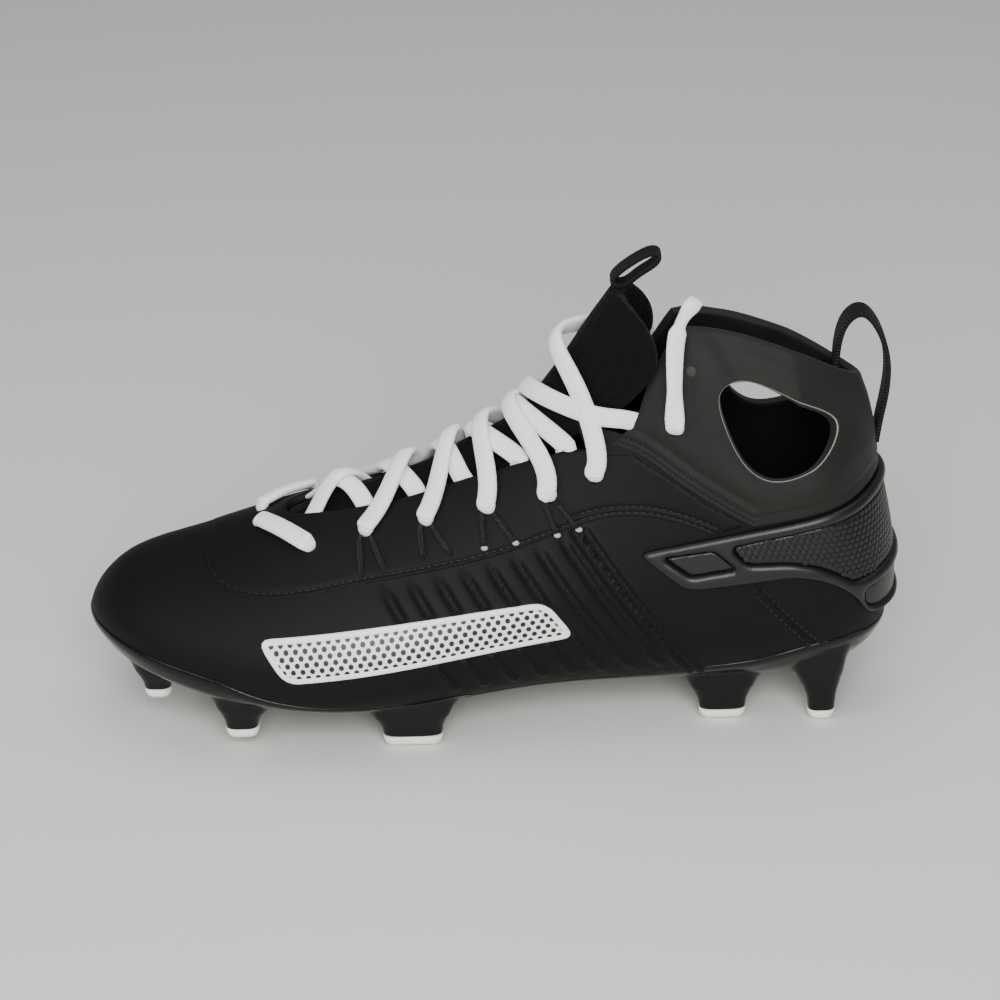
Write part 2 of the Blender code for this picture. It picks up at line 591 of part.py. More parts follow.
def stud_root(name, row):
    """The black part of a stud, from above its tip to inside the plate."""
    station, across, length, width, above = row
    foot = above + TIP_HEIGHT + GAP
    reach = across + math.copysign(width / 2 + STUD_FLARE[-1][2], across)
    ends = (station - length / 2, station, station + length / 2)
    root = max(on_under(at, reach) for at in ends) + STUD_ROOT
    levels = [foot + (root - foot) * share for share, _, _ in STUD_FLARE]
    rings = stud_rings(row, levels, [(longer, wider) for _, longer, wider in STUD_FLARE])
    return new_object(f"root_{name}", rings.reshape(-1, 3), tube_faces(len(levels), STUD_SIDES))


def build_tip(name, row):
    """The white tip of a stud, with a flat foot and a rounded edge."""
    above = row[4]
    levels = [above + height for height, _ in TIP_PROFILE]
    rings = stud_rings(row, levels, [(grow, grow) for _, grow in TIP_PROFILE])
    faces = tube_faces(len(levels), STUD_SIDES)
    return new_object(f"stud_tip_{name}", rings.reshape(-1, 3), faces, "white_plastic")


def build_insole():
    insole = form("insole", -INSOLE_INSET, "grey_foam")
    bed = np.array(BED_LINE, float)
    outline = np.concatenate([bed + (0, GAP), bed[::-1] + (0, GAP + INSOLE_THICKNESS)])
    return boolean(insole, prism("insole_layer", outline), "INTERSECT")


def throat_rise(station, across):
    """How far the tongue rises through the throat at distances from the crest."""
    half = max(np.interp(station, *np.array(sorted(THROAT_LINE)).T), GAP)
    share = np.minimum(np.abs(across) / half, 1)
    return TONGUE_RISE * min(half / TONGUE_RISE_HALF, 1) ** 2 * np.cos(math.pi / 2 * share) ** 2


def tongue_skin():
    """The tongue's outer skin, a row of points and normals across it at each row of its table."""
    rows = [list(row) for row in TONGUE_ROWS]
    for row in rows:
        if row[1] is None:
            row[1] = on_top(row[0], crest_across(row[0]))[0][2] / GRADE[2] - TONGUE_INSET
    crest = np.array([(row[0], row[1]) for row in rows])
    ahead = np.gradient(crest, axis=0)
    ahead /= np.linalg.norm(ahead, axis=1, keepdims=True)
    share = np.linspace(-1, 1, TONGUE_COLUMNS)
    skin, outward = [], []
    for (station, height, half_width, fall), (run, rise) in zip(rows, ahead):
        middle = crest_across(station)
        if fall is None:
            found = [on_top(station, middle + half_width * s) for s in share]
            lifts = throat_rise(station, share * half_width)
            skin.append([point - normal * (TONGUE_INSET - up) for (point, normal), up in zip(found, lifts)])
            outward.append([normal for _, normal in found])
        else:
            up = np.array((rise, 0.0, -run)) * math.copysign(1.0, -run)
            points = np.array((station, middle, height)) - np.outer(fall * share ** 2, up)
            points[:, 1] += half_width * share
            turn = np.tile((-up[0], 0.0, up[2]), (TONGUE_COLUMNS, 1))
            turn[:, 1] = share * fall * 2 / half_width
            skin.append(place(points))
            outward.append(turn / np.linalg.norm(turn, axis=1, keepdims=True))
    return np.array(skin), np.array(outward)


def build_tongue():
    """A padded tongue that lies under the eyestay and stands off the instep towards its top."""
    skin, outward = tongue_skin()
    shape = skin.shape
    skin = smooth_path(skin.reshape(shape[0], -1), 1.5).reshape(-1, *shape[1:])
    outward = smooth_path(outward.reshape(shape[0], -1), 1.5).reshape(-1, *shape[1:])
    angles = np.linspace(-TONGUE_EDGE_ANGLE, TONGUE_EDGE_ANGLE, TONGUE_COLUMNS)
    thickness = TONGUE_THICKNESS * np.sqrt(np.cos(angles))
    inner = skin - outward * thickness[:, None]
    rings = np.concatenate([skin, inner[:, ::-1]], axis=1)
    faces = tube_faces(len(rings), rings.shape[1])
    return new_object("tongue", rings.reshape(-1, 3), faces, "black_knit")


def webbing(name, path, across, closed):
    """A strip of webbing that follows a side-view path, closed or open."""
    width, thickness = WEBBING_WIDTH, WEBBING_THICKNESS
    path = smooth_path(path, 2, closed)
    ahead = np.roll(path, -1, axis=0) - np.roll(path, 1, axis=0) if closed else np.gradient(path, axis=0)
    out = np.stack([ahead[:, 1], -ahead[:, 0]], axis=1)
    out /= np.linalg.norm(out, axis=1, keepdims=True)
    rings = []
    for point, side in zip(path, out):
        far, near = point + side * thickness / 2, point - side * thickness / 2
        rings.append([(far[0], across - width / 2, far[1]), (far[0], across + width / 2, far[1]),
                      (near[0], across + width / 2, near[1]), (near[0], across - width / 2, near[1])])
    rings = place(rings)
    faces = tube_faces(len(rings), 4, closed)
    return new_object(name, rings.reshape(-1, 3), faces, "black_webbing")


def cord(name, path, up, finish=None):
    """A flattened cord along points, with its broad side facing `up` at each point."""
    path, up = np.asarray(path), np.asarray(up)
    ahead = np.gradient(path, axis=0)
    ahead /= np.linalg.norm(ahead, axis=1, keepdims=True)
    side = np.cross(ahead, up)
    side /= np.linalg.norm(side, axis=1, keepdims=True)
    lift = np.cross(side, ahead)
    angles = np.arange(LACE_SIDES) * 2 * math.pi / LACE_SIDES
    oval = np.stack([np.cos(angles) * LACE_WIDTH, np.sin(angles) * LACE_THICKNESS], axis=1) * LACE_FACETED / 2
    rings = [p + oval[:, :1] * s + oval[:, 1:] * n for p, s, n in zip(path, side, lift)]
    return new_object(name, np.concatenate(rings), tube_faces(len(path), LACE_SIDES), finish)


def throat_edge(station, side, inward):
    """A point of the upper at the edge of the throat, moved into the throat by `inward`, and its normal."""
    half = np.interp(station, *np.array(sorted(THROAT_LINE)).T)
    line = np.array(CUFF_FRONT, float)
    height = np.interp(-station, -line[:, 0], line[:, 1])
    across = crest_across(station) + side * half
    point, normal = on_top(station, across)
    if point[2] > height * GRADE[2]:
        point, normal = on_flank(station, height, side)
    slope = np.array((0.0, -side * normal[2], side * normal[1]))
    return point + slope / np.linalg.norm(slope) * inward, normal


def on_tongue(skin, outward, crest_station, share):
    """A point and normal of the tongue: the station of the row's crest, and the share of its half width."""
    stations = MIDDLE_STATION - skin[:, TONGUE_COLUMNS // 2, 0] / GRADE[0]
    columns = np.linspace(-1, 1, TONGUE_COLUMNS)

    def read(table):
        flat = table.reshape(len(table), -1)
        row = np.array([np.interp(-crest_station, -stations, column) for column in flat.T]).reshape(-1, 3)
        return np.array([np.interp(share, columns, row[:, i]) for i in range(3)])

    return read(skin), read(outward)


def build_crossing(number, row):
    """Two cords that cross over the tongue, from a hole on one flank to the throat's edge on the other."""
    hole, near_s, crest_s, far_s = row
    skin, outward = tongue_skin()
    standing = crest_s < STANDING_TONGUE
    cords = []
    for side in (-1, 1):
        marks = []
        if hole is not None:
            point, normal = on_flank(*LACE_HOLES[hole], side)
            marks.append((point + normal * (LACE_LAYER + LACE_CLEAR + CROSSING_LIFT["hole"]), normal))
            point, normal = throat_edge(near_s, side, 0.0)
            marks.append((point + normal * (LACE_LAYER + LACE_CLEAR + CROSSING_LIFT["near"]), normal))
        else:
            point, normal = throat_edge(near_s, side, LOWEST_INSIDE)
            marks.append((point + normal * (LACE_CLEAR - TONGUE_INSET + LOWEST_LIFT), normal))
        for ahead, share, lift in TOP_ROUTE if standing else [(0.0, 0.0, CROSSING_LIFT["tongue"])]:
            if share == 0.0 and side < 0:
                lift += LACE_RAISED
            point, normal = on_tongue(skin, outward, crest_s + ahead, share * side)
            marks.append((point + normal * (LACE_CLEAR + lift), normal))
        if not standing:
            point, normal = throat_edge(far_s, -side, FAR_INSIDE)
            marks.append((point + normal * (LACE_CLEAR + CROSSING_LIFT["far"]), normal))
        path = smooth_path([mark[0] for mark in marks], 2)
        up = smooth_path([mark[1] for mark in marks], 2)
        cords.append((path, up))
    crossing = cord(f"lace_crossing_{number}", *cords[0], "white_lace")
    return boolean(crossing, cord(f"lace_under_{number}", *cords[1]), "UNION")


def build_lace_bar(side, word):
    """The lowest stretch of lace on one flank, from the front hole to the first hole."""
    across = crest_across(FRONT_HOLE[0]) + side * FRONT_HOLE[1]
    start, start_up = on_top(FRONT_HOLE[0], across)
    end, end_up = on_flank(*LACE_HOLES[0], side)
    path, up = [], []
    for share in np.linspace(*BAR_SPAN, BAR_POINTS):
        normal = start_up * (1 - share) + end_up * share
        normal /= np.linalg.norm(normal)
        bow = BAR_BOW * math.sin(math.pi * share)
        path.append(start * (1 - share) + end * share + normal * (BAR_CLEAR + bow))
        up.append(normal)
    return cord(f"lace_bar_{word}", path, up, "white_lace")


def build_lace_end():
    """The free end of the lace as a round cord up the lateral side of the cuff."""
    route = []
    for station, height, proud in LACE_END:
        point, normal = on_flank(station, min(height, LACE_END_LEAVES), -1)
        lean = max(0.0, height - LACE_END_LEAVES)
        route.append(point + normal * (GAP + CUFF_LAYER + proud) + np.array((0.0, 0.0, lean)))
    path = smooth_path(route, 2)
    curve = bpy.data.curves.new("lace_end_lateral", "CURVE")
    curve.dimensions = "3D"
    curve.bevel_depth = LACE_END_DIAMETER / 2 * MM
    curve.bevel_resolution = 2
    curve.use_fill_caps = True
    line = curve.splines.new("POLY")
    line.points.add(len(path) - 1)
    for point, where in zip(line.points, path * MM):
        point.co = (*where, 1.0)
    curve.materials.append(material("white_lace"))
    obj = bpy.data.objects.new("lace_end_lateral", curve)
    bpy.context.scene.collection.objects.link(obj)
    return obj


def main():
    clear_scene()
    cutters = build_cutters()
    build_upper(cutters)
    build_cuff(cutters)
    build_eyestay(cutters)
    build_counter()
    build_plate()
    for name, row in STUDS.items():
        build_tip(name, row)
    build_insole()
    build_tongue()
    webbing("pull_loop", PULL_LOOP, 0.0, closed=False)
    webbing("tongue_loop", TONGUE_LOOP, 1.0, closed=True)
    build_lace_bar(-1, "lateral")
    build_lace_bar(1, "medial")
    for number, row in enumerate(CROSSINGS, start=1):
        build_crossing(number, row)
    build_lace_end()


main()
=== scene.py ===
"""Looks of the left lacrosse cleat: upper, ankle cuff, eyestay, heel counter, plate, studs, tongue and laces.

Lengths are millimetres in a shoemaker's pattern: "station" runs from the back of the heel to the toe,
"across" is positive on the inner side and "height" is above the floor. Last.place turns them into the
part's own frame.
"""
import logging
import math
from dataclasses import dataclass, field
from enum import Enum

import bpy
import numpy as np
from mathutils import Matrix, Vector


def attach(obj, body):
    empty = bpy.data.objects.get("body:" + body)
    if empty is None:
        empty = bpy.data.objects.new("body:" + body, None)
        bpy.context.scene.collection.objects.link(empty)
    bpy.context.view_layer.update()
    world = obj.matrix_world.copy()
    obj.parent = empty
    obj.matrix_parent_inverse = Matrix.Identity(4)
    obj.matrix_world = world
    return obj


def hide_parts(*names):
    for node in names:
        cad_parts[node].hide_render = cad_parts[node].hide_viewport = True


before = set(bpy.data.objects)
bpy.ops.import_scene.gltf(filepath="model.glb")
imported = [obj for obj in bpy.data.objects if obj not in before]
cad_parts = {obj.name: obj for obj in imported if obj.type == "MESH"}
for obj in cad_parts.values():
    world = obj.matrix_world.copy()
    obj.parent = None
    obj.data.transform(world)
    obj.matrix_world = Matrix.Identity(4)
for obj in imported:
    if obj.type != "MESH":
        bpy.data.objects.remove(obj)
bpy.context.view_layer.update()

MM = 0.001
LOG = logging.getLogger("cleat")

# Sections of the shoe's form from the toe to the ankle, as in the part's own table, with a first row that
# closes the toe. Columns: back_s back_z front_s front_z lateral medial foot crest widest square full round.
SECTIONS = np.array([
    (290.4, 38.7, 290.4, 38.9, 0.1, 0.1, 9.0, 9.0, 0.50, 2.0, 0.55, 0.55),
    (289.6, 36.0, 289.6, 41.5, 5.0, 5.0, 9.0, 9.0, 0.50, 2.0, 0.55, 0.55),
    (287.4, 32.8, 287.2, 46.0, 11.5, 11.0, 8.8, 9.0, 0.46, 2.2, 0.55, 0.55),
    (283.2, 29.8, 282.5, 51.4, 18.5, 17.0, 8.2, 9.0, 0.43, 2.5, 0.54, 0.55),
    (276.5, 27.0, 275.0, 56.6, 26.0, 23.5, 7.0, 9.0, 0.41, 2.8, 0.52, 0.55),
    (266.5, 24.4, 263.5, 61.0, 33.5, 29.5, 5.5, 9.0, 0.39, 3.1, 0.48, 0.54),
    (253.0, 21.6, 248.0, 65.2, 39.5, 35.5, 4.0, 9.0, 0.37, 3.4, 0.44, 0.52),
    (236.0, 18.2, 228.5, 71.6, 44.0, 41.5, 2.5, 8.8, 0.35, 3.6, 0.38, 0.50),
    (216.0, 15.4, 205.5, 79.0, 46.5, 45.5, 1.5, 8.4, 0.34, 3.6, 0.32, 0.48),
    (194.0, 13.7, 181.0, 85.8, 46.5, 44.5, 0.8, 7.6, 0.34, 3.5, 0.27, 0.46),
    (172.0, 13.2, 157.5, 96.0, 43.5, 40.5, 0.4, 6.4, 0.34, 3.3, 0.23, 0.44),
    (150.0, 13.8, 138.0, 109.6, 39.5, 36.0, 0.2, 5.0, 0.34, 3.1, 0.20, 0.42),
    (128.0, 14.8, 121.0, 124.5, 36.0, 33.5, 0.0, 3.4, 0.35, 3.0, 0.17, 0.42),
    (106.0, 15.3, 108.5, 133.5, 34.0, 32.5, 0.0, 2.0, 0.36, 3.0, 0.16, 0.44),
    (84.0, 15.0, 99.0, 139.0, 33.2, 32.5, 0.0, 1.0, 0.36, 2.9, 0.20, 0.46),
    (62.0, 14.6, 92.5, 143.5, 33.2, 32.8, 0.0, 0.5, 0.36, 2.8, 0.26, 0.48),
    (42.0, 15.0, 87.5, 147.5, 33.2, 32.8, 0.0, 0.0, 0.36, 2.7, 0.32, 0.50),
    (25.0, 17.2, 83.5, 151.0, 33.0, 32.6, 0.0, 0.0, 0.38, 2.6, 0.36, 0.52),
    (12.0, 22.8, 80.5, 154.0, 32.8, 32.4, 0.0, 0.0, 0.40, 2.5, 0.38, 0.54),
    (4.2, 31.8, 78.0, 156.5, 32.4, 32.0, 0.0, 0.0, 0.42, 2.4, 0.36, 0.52),
    (0.4, 43.0, 76.0, 158.5, 31.8, 31.4, 0.0, 0.0, 0.43, 2.3, 0.28, 0.46),
    (0.0, 56.0, 74.5, 160.5, 30.6, 30.0, 0.0, 0.0, 0.43, 2.2, 0.16, 0.38),
    (2.0, 72.0, 73.0, 162.5, 28.4, 27.2, 0.0, 0.0, 0.43, 2.1, 0.09, 0.31),
    (5.6, 90.0, 71.5, 164.5, 23.6, 21.0, 0.0, 0.0, 0.44, 2.0, 0.07, 0.28),
    (10.0, 110.0, 70.0, 167.0, 17.0, 13.6, 0.0, 0.0, 0.45, 1.95, 0.09, 0.28),
    (14.2, 128.0, 68.5, 170.0, 12.8, 10.0, 0.0, 0.0, 0.46, 1.9, 0.11, 0.32),
    (17.5, 142.0, 67.0, 174.0, 10.8, 9.0, 0.0, 0.0, 0.46, 2.0, 0.20, 0.48),
])

# Lines seen from the side: station, height.
FEATHER_LINE = [(-12, 37), (6, 36.5), (29, 35), (48, 29.7), (62, 27), (80, 24), (100, 21.5), (125, 20),
                (165, 19.5), (190, 20.5), (210, 22.8), (226, 27), (240, 32), (255, 35), (275, 37.5),
                (302, 39.5)]
RIM_LINE = [(-12, 121), (4, 124.5), (14, 128), (24, 133.5), (35, 139.5), (46, 144), (57, 147.5), (68, 149.5),
            (80, 149.8), (105, 148), (130, 144)]
CUFF_FRONT = [(150, 95), (141, 99.2), (126, 105.5), (113, 109.2), (104, 111.2), (96, 114.8), (91, 121),
              (86.5, 133), (79, 146.5), (73, 158), (69, 182)]
CUFF_FRONT_BEYOND = [(149, 190), (170, 150)]
CUFF_SEAM = [(-12, 95), (6, 93.5), (30, 89.2), (52, 85.0), (65, 92.5), (80, 102), (93, 109.5), (112, 113)]
# The rim falls by this share of the distance across, towards the inner side.
RIM_TILT = 0.15
# The throat seen from above: station, half width about the crest.
THROAT_LINE = [(217.0, 0.0), (215.5, 4.0), (210.5, 7.0), (202, 9.0), (190, 10.4), (170, 12.0), (152, 13.6),
               (134, 16.8), (118, 18.6), (104, 19.5)]
# Closed outlines seen from the side: station, height.
WINDOW = [(23.0, 116.0), (34, 125.5), (47, 132.3), (57, 134.4), (63, 130.6), (61, 120.0), (56, 109.5),
          (50, 103.6), (42.5, 102.0), (31, 105.8)]
EYESTAY_EDGE = [(247, 78), (246.5, 66), (240, 59.5), (225, 58), (206, 60.5), (190, 63.6), (163, 68.5),
                (138, 74.8), (120, 81.5), (107, 86), (94, 87.8), (80, 86.4), (66, 81.6)]
EYESTAY_TOP = [(54, 85.4), (66, 91.5), (80, 100.8), (93, 108.2), (104, 107.5), (125, 160), (200, 130)]
COUNTER_EDGE = [(-12, 94.2), (6, 92.6), (30, 88.4), (52, 83.8), (72, 79.4), (92, 75.0), (76, 62.2),
                (70, 62.0), (49, 64.4), (38, 65.8), (29, 64.0), (22, 60.2), (16, 54.5), (11, 45.2), (-12, 43)]
COUNTER_WINDOW = [(-14, 88.6), (6, 88.2), (30, 84.2), (50, 80.0), (60, 77.6), (54, 70.8), (39, 71.0),
                  (30, 69.0), (23, 65.4), (17, 60.6), (3, 62.8), (-14, 63.2)]
COUNTER_DIAMOND = [(57.5, 69.4), (65.5, 76.4), (83, 73.6), (73.5, 66.6)]
COUNTER_PAD = [(-14, 59), (2, 58.6), (13.2, 57.0), (12.6, 50.0), (8.5, 47.0), (-14, 46.6)]
# Paths of the webbing: the heel loop from inside the collar to the outside, the tongue's loop all round.
PULL_LOOP = [(15.4, 112), (18.3, 120), (20.7, 127.4), (21.3, 133.5), (20.6, 140.5), (18.4, 147.2),
             (14.2, 150.8), (10, 149), (6.4, 143), (4, 135.4), (3.4, 127), (4.2, 118.5), (5.6, 110.5),
             (6.8, 102)]
TONGUE_LOOP = [(98.4, 164.4), (95.8, 168.2), (90.8, 171.8), (85.4, 174.4), (82.6, 173.4), (84.4, 170.2),
               (89.4, 166.8), (94.6, 163.2)]

# Studs: station and across of the tip, tip length and width, height of the tip above the floor.
STUDS = {
    "heel_back_lateral": (26.0, -20.0, 9.5, 8.5, 0.0),
    "heel_blade_lateral": (61.5, -18.0, 16.5, 7.5, 0.0),
    "ball_blade_lateral": (173.0, -30.5, 21.0, 7.5, 0.0),
    "front_lateral": (234.0, -29.0, 11.5, 9.0, 4.4),
    "toe_lateral": (265.5, -12.5, 9.5, 8.5, 11.4),
    "heel_back_medial": (33.0, 17.0, 9.5, 8.5, 0.0),
    "heel_blade_medial": (67.0, 19.0, 16.5, 7.5, 0.0),
    "ball_blade_medial": (184.0, 30.0, 19.0, 7.5, 0.0),
    "middle_medial": (209.0, 32.0, 11.0, 8.5, 1.4),
    "front_medial": (239.0, 29.0, 11.5, 9.0, 5.6),
    "toe_medial": (264.5, 19.5, 9.5, 8.5, 11.2),
}

# Lace holes on each flank: station, height. The last one is in the cuff.
LACE_HOLES = [(207.0, 71.5), (187.2, 76.5), (165.5, 81.3), (143.5, 87.2), (122.0, 93.0), (106.0, 100.2),
              (77.8, 117.8)]
FRONT_HOLE = (226.0, 5.0)
SPARE_HOLE = (72.0, 138.0)
# The crossings of the lace: the hole that each cord leaves, or none, and the stations where it passes the
# near edge of the throat, the crest of the tongue and the far edge.
CROSSINGS = [
    (None, 203.5, 196.0, 189.0),
    (1, 182.0, 176.5, 170.5),
    (2, 162.5, 158.5, 154.0),
    (3, 144.5, 146.0, 134.5),
    (4, 124.5, 131.0, 118.0),
    (5, 107.0, 118.0, 98.0),
]
# The free end of the lace up the cuff: station, height, proud of the cuff.
LACE_END = [(77.2, 128, 2.9), (76.6, 136.5, 3.0), (75.8, 144.5, 3.4), (74.2, 152, 4.4), (70.8, 159.5, 5.4)]
LACE_END_LEAVES = 150.0

# The vent panel on the outer flank: its corners, station and height, and how they are rounded.
VENT_CORNERS = ((216.0, 33.0), (226.0, 47.5), (124.0, 58.5), (114.0, 44.0))
VENT_ROUND = 5.0

# The tongue, front to top: station and height of its crest (no height where it lies under the upper's form),
# half width, and how far its edges fall back from the crest.
TONGUE_ROWS = [
    (227.0, None, 14.0, None),
    (217.5, None, 15.6, None),
    (210.0, None, 16.7, None),
    (195.0, None, 18.0, None),
    (176.0, None, 19.5, None),
    (160.0, None, 19.0, None),
    (147.0, None, 17.0, None),
    (133.5, 112.2, 14.8, 10.5),
    (124.0, 124.0, 16.6, 17.5),
    (116.5, 134.8, 17.8, 23.0),
    (110.5, 144.5, 18.6, 25.5),
    (105.0, 153.0, 19.0, 24.5),
    (100.5, 159.5, 17.5, 17.5),
    (98.6, 162.2, 13.0, 8.5),
]


class Side(Enum):
    """The two flanks of the shoe, as the sign of the direction across."""

    LATERAL = -1
    MEDIAL = 1


class Pattern(Enum):
    """How a finish's surface is broken up."""

    GRAIN = "grain"
    MOULDED = "moulded"
    KNIT = "knit"
    WOVEN = "woven"
    BRAID = "braid"
    PERFORATED = "perforated"


def linear(colour: str) -> tuple[float, float, float, float]:
    """Turns an sRGB hex colour into linear values.

    Args:
        colour: six hex digits after a hash sign.

    Returns:
        Red, green, blue and alpha.
    """
    values = [int(colour[i:i + 2], 16) / 255 for i in (1, 3, 5)]
    bent = [v / 12.92 if v <= 0.04045 else ((v + 0.055) / 1.055) ** 2.4 for v in values]
    return (*bent, 1.0)


def spline(column: np.ndarray, at: np.ndarray) -> np.ndarray:
    """Reads a smooth curve through a column of values.

    Args:
        column: values at rows 0, 1, 2 and on.
        at: row numbers, whole or not.

    Returns:
        The curve's values at those rows.
    """
    column, at = np.asarray(column, float), np.asarray(at, float)
    count = len(column)
    left, right = np.zeros((count, count)), np.zeros(count)
    left[0, 0] = left[-1, -1] = 1.0
    for i in range(1, count - 1):
        left[i, i - 1:i + 2] = 1.0, 4.0, 1.0
        right[i] = 6.0 * (column[i + 1] - 2.0 * column[i] + column[i - 1])
    bend = np.linalg.solve(left, right)
    i = np.clip(np.floor(at).astype(int), 0, count - 2)
    after = at - i
    before = 1.0 - after
    curve = (before ** 3 - before) * bend[i] + (after ** 3 - after) * bend[i + 1]
    return before * column[i] + after * column[i + 1] + curve / 6.0


def smooth_line(points: list, per_gap: int, closed: bool = False) -> np.ndarray:
    """Draws a smooth line through points.

    Args:
        points: points of any dimension.
        per_gap: steps between two given points.
        closed: whether the line runs back to its start.

    Returns:
        The line's points.
    """
    points = np.asarray(points, float)
    count, lap = len(points), 3
    if closed:
        points = np.concatenate([points[-lap:], points, points[:lap]])
        at = lap + np.arange(count * per_gap) / per_gap
    else:
        at = np.linspace(0, count - 1, (count - 1) * per_gap + 1)
    return np.stack([spline(column, at) for column in points.T], axis=1)


def run_along(line: np.ndarray) -> np.ndarray:
    """Measures the way along a line up to each of its points."""
    return np.concatenate([[0], np.cumsum(np.linalg.norm(np.diff(line, axis=0), axis=1))])


def unit(vectors: np.ndarray) -> np.ndarray:
    """Scales each row of vectors to length 1."""
    return vectors / np.linalg.norm(vectors, axis=1, keepdims=True)


def rounded(points: list, radius: float, steps: int = 5) -> np.ndarray:
    """Rounds the corners of a closed outline.

    Args:
        points: the outline's corners.
        radius: how far from each corner its curve begins.
        steps: points on each rounded corner.

    Returns:
        The outline with a curve at every corner.
    """
    points = np.asarray(points, float)
    made = []
    for before, corner, after in zip(np.roll(points, 1, axis=0), points, np.roll(points, -1, axis=0)):
        back, ahead = before - corner, after - corner
        reach = min(radius, np.linalg.norm(back) * 0.45, np.linalg.norm(ahead) * 0.45)
        start = corner + back / np.linalg.norm(back) * reach
        end = corner + ahead / np.linalg.norm(ahead) * reach
        for t in np.linspace(0, 1, steps):
            made.append((1 - t) ** 2 * start + 2 * t * (1 - t) * corner + t * t * end)
    return np.array(made)


def line_distance(points: np.ndarray, line: np.ndarray, reach: float = 12.0) -> np.ndarray:
    """Measures how far points in a plane lie from an open line.

    Args:
        points: points in the plane.
        line: the line's points.
        reach: the largest distance that matters.

    Returns:
        Distances, none above the reach.
    """
    result = np.full(len(points), reach)
    near = np.all((points > line.min(axis=0) - reach) & (points < line.max(axis=0) + reach), axis=1)
    some = points[near]
    best = np.full(len(some), reach ** 2)
    for start, end in zip(line[:-1], line[1:]):
        run = end - start
        along = np.clip(((some - start) @ run) / max(run @ run, 1e-9), 0, 1)
        apart = some - start - along[:, None] * run
        best = np.minimum(best, (apart * apart).sum(axis=1))
    result[near] = np.sqrt(best)
    return result


def outline_distance(points: np.ndarray, outline: np.ndarray, reach: float = 12.0) -> np.ndarray:
    """Measures how far points lie outside a closed outline.

    Args:
        points: points in the plane.
        outline: the outline's points.
        reach: the largest distance that matters.

    Returns:
        Distances, negative inside.
    """
    ring = np.concatenate([outline, outline[:1]])
    result = line_distance(points, ring, reach)
    inside = np.zeros(len(points), bool)
    for (s0, z0), (s1, z1) in zip(ring[:-1], ring[1:]):
        if z0 == z1:
            continue
        level = (points[:, 1] < z0) != (points[:, 1] < z1)
        inside ^= level & (points[:, 0] < s0 + (points[:, 1] - z0) / (z1 - z0) * (s1 - s0))
    return np.where(inside, -result, result)


def roll(depth: np.ndarray, radius: float) -> np.ndarray:
    """Gives the height share of a rounded edge.

    Args:
        depth: distance inside the edge.
        radius: how far in the edge is round.

    Returns:
        0 at the edge, rising in a quarter circle to 1.
    """
    out = 1 - np.clip(depth / radius, 0, 1)
    return np.sqrt(1 - out * out)


def ease(value: np.ndarray) -> np.ndarray:
    """Turns 0 to 1 into a soft step."""
    value = np.clip(value, 0, 1)
    return value * value * (3 - 2 * value)


